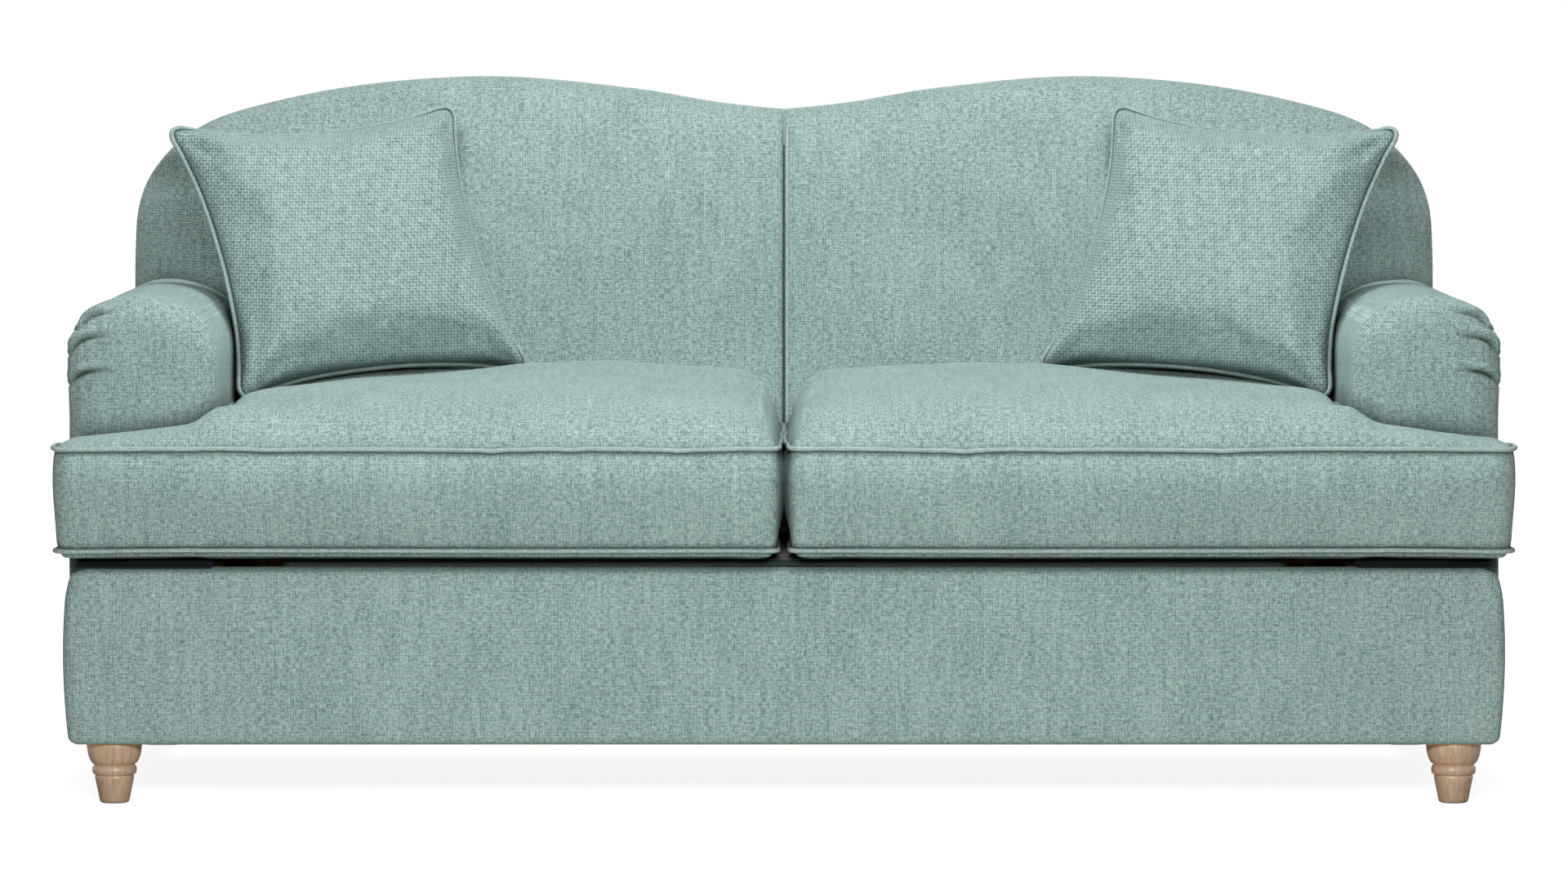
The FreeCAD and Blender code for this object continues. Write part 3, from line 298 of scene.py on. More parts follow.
def clothPlane(material):  # across and along the cloth on whichever side the surface faces
    steep = 0.8
    place = addNode(material, "TexCoord", {}, "Object")
    point = addNode(material, "SeparateXYZ", {0: place}).node.outputs
    facing = addNode(material, "SeparateXYZ", {0: place.node.outputs["Normal"]}).node.outputs
    onSide = calc(material, "GREATER_THAN", calc(material, "ABSOLUTE", facing[0]), steep)
    onTop = calc(material, "GREATER_THAN", calc(material, "ABSOLUTE", facing[2]), steep)
    across = addNode(material, "Mix", {"data_type": "FLOAT", 0: onSide, 2: point[0], 3: point[1]})
    along = addNode(material, "Mix", {"data_type": "FLOAT", 0: onTop, 2: point[2], 3: point[1]})
    return across, along, place


def wovenCloth(**cloth):  # soft thick yarn scatters light: no gloss, pale slubs, a faint sheen at the edges
    material, shader = startMaterial(cloth["name"], 0.92, ior=1.46)
    deep, pale = linear(cloth["deep"]), linear(cloth["pale"])
    shader.inputs["Sheen Weight"].default_value = cloth["sheen"]
    shader.inputs["Sheen Roughness"].default_value = 0.45
    shader.inputs["Sheen Tint"].default_value = pale
    shader.inputs["Specular IOR Level"].default_value = 0.18
    across, along, point = clothPlane(material)
    wide, tall = (calc(material, "MULTIPLY", way, 1000 / cloth["threadMm"]) for way in (across, along))
    flat = addNode(material, "CombineXYZ", {0: wide, 1: tall})
    checker = addNode(material, "TexChecker", {"Scale": 1.0, "Vector": flat}, "Fac")
    yarn = {"Scale": 0.314, "Distortion": 0.6, "Detail": 1.0, "Detail Scale": 2.0, "Vector": flat}
    warp, weft = (addNode(material, "TexWave", {"bands_direction": way, **yarn}, "Fac") for way in ("X", "Y"))
    weave = addNode(material, "Mix", {"data_type": "FLOAT", 0: checker, 2: warp, 3: weft})
    slubs = [clouds(material, stretched(material, flat, factors), 0.9, 2.0, roughness=0.6)
             for factors in ((cloth["slub"], 1, 1), (1, cloth["slub"], 1))]
    threads = calc(material, "MULTIPLY_ADD", weave, cloth["weave"], calc(material, "ADD", *slubs))
    streakShare, cloudShare = 0.35, 0.20
    streaks = clouds(material, stretched(material, flat, (0.32, 0.03, 1)), 1.0, 2.0)
    streaked = calc(material, "MULTIPLY_ADD", streaks, streakShare, threads)  # dye lots along the warp
    shade = calc(material, "MULTIPLY_ADD", clouds(material, point, 9.0, 3.0), cloudShare, streaked)
    middle = 1.0 + 0.5 * (cloth["weave"] + streakShare + cloudShare)
    share = between(material, shade, middle - cloth["spread"], middle + cloth["spread"])
    colour = mixColour(material, share, deep, pale)
    paintedShadeReach, paintedShadeShare = 0.035, 0.22  # painted shade: folds, seams and gaps keep this share of the deep colour, darkened as if shaded
    # painted shade: ambient occlusion darkens the cloth colour in folds, seams and gaps where shade falls
    paintedShadeOcclusion = addNode(material, "AmbientOcclusion", {"samples": 6, "Distance": paintedShadeReach}, "AO")
    paintedCreaseShade = [paintedShadeShare * channel for channel in deep[:3]] + [1.0]
    colour = mixColour(material, between(material, paintedShadeOcclusion, 0.30, 0.92), paintedCreaseShade, colour)
    return finishMaterial(material, shader, colour, threads, cloth["relief"])


# Chenille and its scatter weave. The real threads are about 1.2 mm apart, which is
# under a pixel here, so they are drawn at the coarser spacing given.
chenille = wovenCloth(name="chenille", threadMm=2.5, weave=0.5, slub=0.35, spread=0.37,
                      deep="#587370", pale="#b9cfcb", sheen=0.40, relief=0.0009)
basketWeave = wovenCloth(name="basketWeaveChenille", threadMm=4.4, weave=0.7, slub=0.4, spread=0.62,
                         deep="#557270", pale="#b6cdca", sheen=0.40, relief=0.0011)
backCloth = wovenCloth(name="outsideBackChenille", threadMm=2.5, weave=0.5, slub=0.35, spread=0.37,
                       deep="#577270", pale="#b5cbc8", sheen=0.40, relief=0.0008)
pipingCloth = wovenCloth(name="biasCutPiping", threadMm=2.6, weave=0.8, slub=0.3, spread=0.75,
                         deep="#68827f", pale="#cadcd9", sheen=0.15, relief=0.0006)
# painted shade: a near-black lining on the shelf and apron under the cushion ears stands in for the shade in
# the gap
shadeDarkLining = wovenCloth(name="paintedShadeLining", threadMm=2.0, weave=0.5, slub=0.5, spread=0.8,
                       deep="#1f2c2b", pale="#36484a", sheen=0.05, relief=0.0003)
ticking = wovenCloth(name="knittedTicking", threadMm=3.0, weave=0.5, slub=0.5, spread=0.9,
                     deep="#d5d2c8", pale="#f0eee6", sheen=0.15, relief=0.0005)
webbing = wovenCloth(name="polypropyleneWebbing", threadMm=2.2, weave=0.9, slub=0.12, spread=0.8,
                     deep="#1c1c1b", pale="#3d3c3a", sheen=0.1, relief=0.0006)


def addSideClothAndShade(material, border, flat):  # a dark side colour where the surface is steeper than flat, partly side cloth and partly painted shade
    shader = material.node_tree.nodes["Principled BSDF"]
    normal = addNode(material, "TexCoord", {}, "Normal")
    upward = calc(material, "ABSOLUTE", addNode(material, "SeparateXYZ", {0: normal}, 2))
    main = shader.inputs["Base Color"].links[0].from_socket
    colour = mixColour(material, between(material, upward, *flat), linear(border), main)
    material.node_tree.links.new(colour, shader.inputs["Base Color"])


addSideClothAndShade(ticking, "#34403f", (0.86, 0.93))  # charcoal side cloth, carried over the rounded edges as painted shade where the pads show in the gap


def timber(**wood):  # grain runs along one axis; planed wood has a low, broken gloss and lacquer adds a coat
    material, shader = startMaterial(wood["name"], wood["roughness"], ior=1.52)
    shader.inputs["Coat Weight"].default_value = wood["lacquer"]
    shader.inputs["Coat Roughness"].default_value = 0.3
    lengthwise = [1000 / wood["grainMm"]] * 3
    lengthwise[wood["along"]] *= 0.035
    run = stretched(material, addNode(material, "TexCoord", {}, "Object"), lengthwise)
    fibres = clouds(material, run, 1.0, 5.0, roughness=0.65, distortion=0.4)
    growth = clouds(material, run, 0.22, 2.0, distortion=1.2)
    grain = calc(material, "MULTIPLY_ADD", growth, 0.8, fibres)
    colour = mixColour(material, between(material, grain, 0.6, 1.2), linear(wood["deep"]), linear(wood["pale"]))
    return finishMaterial(material, shader, colour, grain, wood["relief"])


beech = timber(name="turnedBeech", grainMm=2.4, along=2, deep="#a58366", pale="#cfb296",
               roughness=0.42, lacquer=0.35, relief=0.0002)
plywood = timber(name="birchPlywood", grainMm=3.0, along=2, deep="#b08d62", pale="#d6b98e",
                 roughness=0.65, lacquer=0.0, relief=0.0003)
pine = timber(name="planedPine", grainMm=5.0, along=0, deep="#a98156", pale="#d3b082",
              roughness=0.62, lacquer=0.0, relief=0.0003)
birchSlat = timber(name="laminatedBirchSlat", grainMm=3.0, along=0, deep="#c3a272", pale="#e2cba0",
                   roughness=0.45, lacquer=0.2, relief=0.0002)


# A fine broken surface: powder coat is orange-peeled, zinc is spangled, plastic is sparked
def hardFinish(**finish):
    material, shader = startMaterial(finish["name"], finish["roughness"], finish["metallic"])
    place = addNode(material, "TexCoord", {}, "Object")
    grains = clouds(material, place, 1000 / finish["grainMm"], 3.0)
    stains = clouds(material, place, 14.0, 4.0)
    share = between(material, calc(material, "MULTIPLY_ADD", grains, 0.5, stains), 0.45, 1.05)
    colour = mixColour(material, share, linear(finish["deep"]), linear(finish["pale"]))
    smooth, dull = finish["roughness"] - 0.08, finish["roughness"] + 0.1
    rough = addNode(material, "MapRange", {0: stains, 1: 0.3, 2: 0.8, 3: smooth, 4: dull})
    return finishMaterial(material, shader, colour, grains, finish["relief"], rough)


powderCoat = hardFinish(name="powderCoatedSteel", grainMm=2.5, roughness=0.48, metallic=0.0,
                        deep="#26282a", pale="#3b3e41", relief=0.0001)
zinc = hardFinish(name="zincPlatedSteel", grainMm=4.0, roughness=0.34, metallic=1.0,
                  deep="#a9abad", pale="#cfd0cf", relief=0.00005)
blackPlastic = hardFinish(name="mouldedPolypropylene", grainMm=1.5, roughness=0.55, metallic=0.0,
                          deep="#141414", pale="#232323", relief=0.00008)

slotMaterials = {"woven_fabric": chenille, "scatter_fabric": basketWeave, "rear_fabric": backCloth,
                 "turned_wood": beech, "plywood": plywood, "frame_wood": pine, "slat_wood": birchSlat,
                 "webbing": webbing, "mattress_cloth": ticking, "painted_steel": powderCoat,
                 "zinc_steel": zinc, "black_plastic": blackPlastic}
for part in frame["record"]["subparts"]:
    node = frame["nodes"][part["node"]]
    node.data.materials.clear()
    node.data.materials.append(slotMaterials[part["material_slot"]])
print("materials made")


# Camera, lamps and stage

view = {"distance": 9.97, "height": 1.10, "tiltDown": 3.6, "focalPx": 8558}
cameraData = bpy.data.cameras.new("camera")
cameraData.sensor_width = 36
cameraData.lens = view["focalPx"] / 1920 * cameraData.sensor_width
cameraData.clip_end = 60
camera = bpy.data.objects.new("camera", cameraData)
camera.location = (0, -view["distance"], view["height"])
camera.rotation_euler = (math.radians(90 - view["tiltDown"]), 0, 0)
scene.collection.objects.link(camera)
scene.camera = camera
scene.view_settings.view_transform = "Standard"


def addLamp(name, place, target, size, watts):
    data = bpy.data.lights.new(name, "AREA")
    data.shape = "RECTANGLE"
    data.size, data.size_y = size
    data.energy = watts
    lamp = bpy.data.objects.new(name, data)
    lamp.location = place
    lamp.rotation_euler = (Vector(target) - Vector(place)).to_track_quat("-Z", "Y").to_euler()
    lamp.visible_camera = False
    scene.collection.objects.link(lamp)


addLamp("topSoftbox", (0, -0.7, 4.3), (0, -0.4, 0.4), (1.5, 1.0), 128)
addLamp("rearSoftbox", (0, 7.0, 2.6), (0, 0.4, 0.45), (2.4, 1.4), 210)
addLamp("frontSoftbox", (0, -4.0, 1.45), (0, 0, 0.45), (0.9, 0.6), 100)

world = bpy.data.worlds.new("studio")
scene.world = world
world.use_nodes = True
dimLight = world.node_tree.nodes["Background"]
dimLight.inputs["Color"].default_value = (1, 1, 1, 1)
dimLight.inputs["Strength"].default_value = 0.09
cameraRay = addNode(world, "LightPath", {}, "Is Camera Ray")
seen = calc(world, "MAXIMUM", cameraRay, cameraRay.node.outputs["Is Glossy Ray"])
whiteView = addNode(world, "Background", {"Color": (1, 1, 1, 1)})
mixedView = addNode(world, "MixShader", {0: seen, 1: dimLight.outputs[0], 2: whiteView})
world.node_tree.links.new(mixedView, world.node_tree.nodes["World Output"].inputs["Surface"])

floorShape = {"half": 14, "colour": "#bebebc", "glow": 0.88}
floorMaterial, floorShader = startMaterial("paleFloor", 0.9)
floorShader.inputs["Base Color"].default_value = linear(floorShape["colour"])
floorShader.inputs["Emission Color"].default_value = (1, 1, 1, 1)
floorSeen = calc(floorMaterial, "MULTIPLY", addNode(floorMaterial, "LightPath", {}, "Is Camera Ray"),
                 floorShape["glow"])
floorMaterial.node_tree.links.new(floorSeen, floorShader.inputs["Emission Strength"])
floorMesh = bpy.data.meshes.new("floor")
h = floorShape["half"]
floorMesh.from_pydata([(-h, -h, 0), (h, -h, 0), (h, h, 0), (-h, h, 0)], [], [(0, 1, 2, 3)])
floorMesh.materials.append(floorMaterial)
floor = bpy.data.objects.new("floor", floorMesh)
scene.collection.objects.link(floor)


def pointsOf(piece):
    return np.array([v.co[:] for v in piece.data.vertices])


def setPoints(piece, points):
    piece.data.vertices.foreach_set("co", points.ravel())
    piece.data.update()


def smoothOut(piece):
    smoother = piece.modifiers.new("smoother", "SUBSURF")
    smoother.levels = smoother.render_levels = 1


# Stuffing: a short cloth simulation swells a sewn shape, and each point may move only so far
def stuff(piece, pressure, cap, frames, stiffness=20.0):
    start = pointsOf(piece)
    modifier = piece.modifiers.new("stuffing", "CLOTH")
    cloth = modifier.settings
    cloth.quality = 4
    cloth.mass = 0.3
    cloth.tension_stiffness = cloth.compression_stiffness = stiffness
    cloth.shear_stiffness = 0.4 * stiffness
    cloth.bending_stiffness = 0.6
    cloth.use_pressure = True
    cloth.uniform_pressure_force = pressure
    cloth.effector_weights.gravity = 0
    modifier.point_cache.frame_start = 1
    modifier.point_cache.frame_end = frames
    for number in range(1, frames + 1):
        scene.frame_set(number)
    end = pointsOf(piece.evaluated_get(bpy.context.evaluated_depsgraph_get()))
    piece.modifiers.remove(modifier)
    scene.frame_set(1)
    move = end - start
    length = np.linalg.norm(move, axis=1)[:, None]
    setPoints(piece, start + move * cap * np.tanh(length / cap) / np.maximum(length, 1e-9))


# Tight back: two stuffed halves that roll over the frame, with a piped seam between

backShape = {
    "line": [(0, 0.9405), (0.05, 0.9450), (0.11, 0.9525), (0.230, 0.972), (0.429, 0.989), (0.628, 0.976),
             (0.790, 0.943), (0.872, 0.909), (0.925, 0.859), (0.951, 0.805), (0.957, 0.730), (0.956, 0.600),
             (0.954, 0.450)],
    "foot": 0.450, "seam": 0.0003, "frontY": 0.135, "frontRake": 15.0, "rearY": 0.4323, "rearRake": 4.2,
    "rollReach": 0.170, "rollDepth": 0.125, "seamReach": 0.036, "seamDepth": 0.011, "footReach": 0.03,
    "footDepth": 0.02, "depth": 0.300, "crown": 0.007, "crownReach": (0.3, 0.25), "pole": (0.45, 0.70),
    "endX": (0.78, 0.90), "endZ": (0.93, 0.82), "endReach": 0.135, "endDepth": 0.165,
    "rearInset": 0.024, "behindInset": 0.07, "welt": 0.0036,
}


def backPoint(x, z, depth):
    b = backShape
    front = b["frontY"] + (z - b["foot"]) * math.tan(math.radians(b["frontRake"]))
    rear = b["rearY"] + (z - b["foot"]) * math.tan(math.radians(b["rearRake"]))
    return np.stack([x, front + (rear - front) * depth / b["depth"], z], axis=-1)


def backDepth(points, top):
    b = backShape
    away = distanceTo(points, top)
    atEnd = smoothStep(points[:, 0], *b["endX"]) * smoothStep(points[:, 1], *b["endZ"])
    depth = rollDepth(away, b["rollReach"], b["rollDepth"]) * (1 - atEnd)
    depth = depth + b["endDepth"] * np.clip(1 - away / b["endReach"], 0, 1) ** 1.4 * atEnd
    depth = depth + rollDepth(points[:, 0] - b["seam"], b["seamReach"], b["seamDepth"])
    depth = depth + rollDepth(points[:, 1] - b["foot"], b["footReach"], b["footDepth"])
    down, out = b["crownReach"]
    return depth - b["crown"] * smoothStep(away, 0, down) * smoothStep(points[:, 0], 0, out)


def makeBack():
    b = backShape
    top = evenly(smoothLine(b["line"]), 170)
    top[:, 0] = np.maximum(top[:, 0], b["seam"])
    foot = np.linspace(top[-1], (b["seam"], b["foot"]), 60)[1:]
    seam = np.linspace((b["seam"], b["foot"]), top[0], 52)[1:-1]
    outline = np.vstack([top, foot, seam])
    count = len(outline)
    pole = np.array(b["pole"])
    inward = (pole - outline) / np.linalg.norm(pole - outline, axis=1)[:, None]
    shares = np.concatenate([np.linspace(0.05, 0.7, 14), 1 - 0.3 * (1 - np.linspace(0.06, 1, 26)) ** 1.25])
    rows = []
    for share in shares:
        flat = pole + (outline - pole) * share
        rows.append(backPoint(flat[:, 0], flat[:, 1], backDepth(flat, top)))
    edge = backDepth(outline, top)
    rolled = np.arange(count) < len(top)
    for t in np.concatenate([np.linspace(0.08, 0.8, 10), [0.87, 0.93, 0.97, 1.0]]):
        inset = np.where(rolled, b["rearInset"] * max(0.0, (t - 0.75) / 0.25) ** 2, 0)
        flat = outline + inward * inset[:, None]
        rows.append(backPoint(flat[:, 0], flat[:, 1], edge + (b["depth"] - 0.004 - edge) * t))
    behind = outline + inward * np.where(rolled, b["behindInset"], 0)[:, None]
    rows.append(backPoint(behind[:, 0], behind[:, 1], np.full(count, b["depth"] - 0.008)))
    verts, faces = closedShape(rows, backPoint(*pole, -b["crown"]), backPoint(*pole, b["depth"] - 0.02))
    verts[:, 1] += ripple(verts, 0.16, 0.0016, 3.0) + ripple(verts, 0.05, 0.0005, 9.0)
    rearRow = rows[len(shares) + 12] + np.array([0, 0.004, 0])
    rearLine = evenly(rearRow[:len(top) - 8], 150)
    for side, sign in bothSides:
        pad = addPiece("back_half_" + side, *sided(verts, faces, sign), chenille)
        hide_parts("back_pad_" + side)
        line = rearLine * (sign, 1, 1)
        addPiece("back_edge_welt_" + side, *tubeAlong(line, b["welt"], closed=False), pipingCloth)
    seamRow = rows[len(shares) - 1]
    topRow = [row[0] for row in rows[len(shares):len(shares) + 12]]
    seamLine = np.vstack([seamRow[len(top) + len(foot) - 1:], seamRow[:1], topRow])
    seamLine[:, 0] = b["welt"] + 0.001
    seamLine[:, 1] -= 0.0026
    seamLine[:, 2] -= 0.004 * smoothStep(seamLine[:, 2], 0.915, 0.935)  # sinks in where it rolls over
    line = evenly(smoothLine(seamLine[::3], 3), 130)
    addPiece("back_seam_welt", *tubeAlong(line, b["welt"], closed=False), pipingCloth)


makeBack()
print("back made")


# Rolled arms: stuffed front faces, pulled into three pleats at the outer shoulder

armShape = {
    "rollZ": 0.602, "top": 0.694, "topX": 0.893, "outer": 0.988, "full": 2.25, "side": (0.9868, 0.53),
    "front": -0.372, "rear": 0.433, "foot": 0.086, "shelf": 0.3375, "inner": 0.781, "lowInner": 0.8195,
    "outerFoot": 0.983, "edgeReach": 0.050, "edgeDepth": 0.028, "edgeFrom": (0.33, 0.39),
    "puffReach": 0.13, "puff": 0.007, "pole": (0.885, 0.52),
    "pleats": [((0.974, 0.650), (0.950, 0.669), (0.905, 0.675)),
               ((0.987, 0.616), (0.962, 0.637), (0.905, 0.645)),
               ((0.988, 0.575), (0.960, 0.591), (0.905, 0.596))],
    "pleatDepth": 0.0085, "pleatWidth": 0.0024, "foldLift": 0.0046, "foldUp": 0.0066, "foldWidth": 0.0060,
    "pleatWrap": 0.055, "pleatDrop": 0.25, "wrapShare": 0.26, "wrapFrom": 0.935, "pleatBehind": (0.050, 0.022),
}


def makeArm():
    a = armShape

    def rollArc(width, angles):  # a quarter of a full superellipse
        x = np.sign(width) * abs(width) * np.cos(angles) ** (2 / a["full"])
        z = (a["top"] - a["rollZ"]) * np.sin(angles) ** (2 / a["full"])
        return np.column_stack([a["topX"] + x, a["rollZ"] + z])

    quarter = np.linspace(0, math.pi / 2, 40)
    innerRoll = rollArc(a["inner"] - a["topX"], quarter)
    outerRoll = rollArc(a["outer"] - a["topX"], quarter[::-1])[1:]
    footEnd, lowEnd = (a["outerFoot"], a["foot"]), (a["lowInner"], a["foot"])
    ledgeOut, ledgeIn = (a["lowInner"], a["shelf"]), (a["inner"], a["shelf"])
    soft = np.vstack([evenly(np.vstack([ledgeIn, innerRoll]), 52),
                      evenly(np.vstack([outerRoll, a["side"]]), 230), np.linspace(a["side"], footEnd, 50)[1:]])
    outline = np.vstack([soft, np.linspace(footEnd, lowEnd, 14)[1:], np.linspace(lowEnd, ledgeOut, 20)[1:],
                         np.linspace(ledgeOut, ledgeIn, 5)[1:-1]])
    pole = np.array(a["pole"])
    shares = np.concatenate([np.linspace(0.06, 0.5, 8), 1 - 0.5 * (1 - np.linspace(0.025, 1, 44)) ** 1.2])
    rows = []
    for share in shares:
        flat = pole + (outline - pole) * share
        near = distanceTo(flat, soft)
        depth = smoothStep(flat[:, 1], *a["edgeFrom"]) * rollDepth(near, a["edgeReach"], a["edgeDepth"])
        depth = depth + rollDepth(near, a["puffReach"], a["puff"])
        rows.append(np.stack([flat[:, 0], a["front"] + depth, flat[:, 1]], axis=-1))
    start = rows[-1][:, 1]
    length = a["rear"] - start
    for t in np.concatenate([np.linspace(0.004, 0.08, 20), np.linspace(0.1, 1, 36)]):
        rows.append(np.stack([outline[:, 0], start + length * t, outline[:, 1]], axis=-1))
    return closedShape(rows, (pole[0], a["front"], pole[1]), (pole[0], a["rear"], pole[1]))


def offsetFrom(points, line):  # signed distance above a line that runs inward, and the share of it passed
    best = np.full(len(points), 1e9)
    above, passed = np.zeros(len(points)), np.zeros(len(points))
    for k, (a, b) in enumerate(zip(line, line[1:])):
        run = b - a
        t = np.clip((points - a) @ run / (run @ run), 0, 1)
        away = points - a - t[:, None] * run
        length = np.linalg.norm(away, axis=1)
        side = np.sign(run[1] * away[:, 0] - run[0] * away[:, 1])
        near = length < best
        best = np.where(near, length, best)
        above = np.where(near, length * side, above)
        passed = np.where(near, (k + t) / (len(line) - 1), passed)
    return above, passed


def pleatMove(verts, normals):
    a = armShape
    move = np.zeros(len(verts))
    behind = np.clip(verts[:, 1] - (a["front"] + a["edgeDepth"] * 0.7), 0, None)
    onFace = smoothStep(verts[:, 1], *(a["front"] + reach for reach in a["pleatBehind"]))
    onSide = smoothStep(behind, a["pleatWrap"], 0.01) * (behind > 0) * (verts[:, 0] > a["wrapFrom"])
    onSide = onSide * a["wrapShare"]

    def profile(height):
        groove = -a["pleatDepth"] * np.exp(-(height / a["pleatWidth"]) ** 2)
        return groove + a["foldLift"] * np.exp(-((height - a["foldUp"]) / a["foldWidth"]) ** 2)

    for points in a["pleats"]:
        line = smoothLine(points, 6)
        above, passed = offsetFrom(verts[:, [0, 2]], line)
        edge = a["wrapShare"] + (1 - a["wrapShare"]) * smoothStep(passed, 0.0, 0.3)
        face = profile(above) * onFace * smoothStep(passed, 1.0, 0.35) * edge
        side = profile(verts[:, 2] - points[0][1] + a["pleatDrop"] * behind) * onSide
        move += np.where(abs(face) > abs(side), face, side)
    return normals * move[:, None]


def finishArms():
    verts, faces = makeArm()
    for side, sign in bothSides:
        seed = 5.0 if sign > 0 else 7.0
        pad = addPiece("arm_pad_" + side, *sided(verts, faces, sign), chenille)
        normals = np.array([v.normal[:] for v in pad.data.vertices]) * (sign, 1, 1)
        shaped = verts + pleatMove(verts, normals)
        shaped += normals * (ripple(shaped, 0.12, 0.0014, seed) + ripple(shaped, 0.045, 0.0005, seed))[:, None]
        setPoints(pad, shaped * (sign, 1, 1))
        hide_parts("arm_" + side)


finishArms()
print("arms made")


# Seat cushions: boxed T shapes, crowned, piped along the top and bottom edges

seatShape = {
    "seam": 0.0062, "arm": 0.7725, "ear": 0.999, "front": -0.466, "earRear": -0.3755, "rear": 0.128,
    "low": 0.3378, "border": 0.4873, "crown": 0.095, "cornerRadius": 0.026, "seamRadius": 0.014, "step": 0.0115,
    "bulge": 0.017, "sideBulge": 0.003, "underLift": 0.0095, "underInset": 0.010, "tuck": 0.014,
    "tuckReach": 0.11, "piping": 0.0035, "pipingOut": 0.0026, "pinch": 0.0030, "pinchWidth": 0.03,
    "pressure": 2.6, "cap": 0.006, "frames": 14,
}

# The crown rises from each edge within its reach, then on over its slope; the scatter cushion dents it
crownShape = {
    "frontReach": 0.22, "frontShare": 0.78, "frontSlope": (0.1, 0.60), "rearReach": 0.085,
    "seamReach": 0.055, "seamShare": 0.86, "seamSlope": (0, 0.30),
    "armReach": 0.026, "armShare": 0.2, "armFlat": 0.7, "armSlope": (0, 0.2), "tipReach": 0.03, "tipShare": 0.7,
    "earRise": ((0.765, 1.0), (0.785, 0.98), (0.800, 0.74), (0.822, 0.55), (0.902, 0.37), (0.985, 0.22)),
    "dent": 0.18, "dentAt": (0.66, -0.05), "dentSize": (0.20, 0.16),
    "edgeAt": (0.80, -0.13), "edgeSlant": 0.436, "edgeWidth": 0.055, "edgeFrom": (0.34, 0.46),
}


# Moves a point of a square corner to a round one
def roundCorner(x, y, cornerX, cornerY, signX, signY, radius):
    u = (x - (cornerX - signX * radius)) * signX / radius
    v = (y - (cornerY - signY * radius)) * signY / radius
    if not (0 < u <= 1.000001 and 0 < v <= 1.000001):
        return x, y
    return (cornerX - signX * radius * (1 - u * math.sqrt(1 - v * v / 2)),
            cornerY - signY * radius * (1 - v * math.sqrt(1 - u * u / 2)))


def domeOf(distance, reach):  # quarter-ellipse rise from an edge
    return np.sqrt(1 - (1 - np.clip(distance / reach, 0, 1)) ** 2.1)


def seatCrown(x, y):
    s, c = seatShape, crownShape
    front = domeOf(y - s["front"], c["frontReach"]) * c["frontShare"]
    front += (1 - c["frontShare"]) * smoothStep(y - s["front"], *c["frontSlope"])
    rear = domeOf(s["rear"] - y, c["rearReach"])
    seam = domeOf(x - s["seam"], c["seamReach"]) * c["seamShare"]
    seam += (1 - c["seamShare"]) * smoothStep(x, *c["seamSlope"])
    armSide = 1.0
    if y > s["earRear"] - 0.001:
        slope = (1 - c["armShare"] - c["armFlat"]) * smoothStep(s["arm"] - x, *c["armSlope"])
        armSide = domeOf(s["arm"] - x, c["armReach"]) * c["armShare"] + c["armFlat"] + slope
    ear = np.interp(x, *zip(*c["earRise"]))
    tip = domeOf(s["ear"] - x, c["tipReach"]) * c["tipShare"] + 1 - c["tipShare"]
    dx, dy = (x - c["dentAt"][0]) / c["dentSize"][0], (y - c["dentAt"][1]) / c["dentSize"][1]
    fromEdge = y - c["edgeAt"][1] - (c["edgeAt"][0] - x) * c["edgeSlant"]
    pressed = math.exp(-(fromEdge / c["edgeWidth"]) ** 2) * smoothStep(x, *c["edgeFrom"])
    dent = c["dent"] * (math.exp(-dx ** 4 - dy ** 4) + pressed) / 2
    return float(front * rear * seam * armSide * ear * tip - dent)


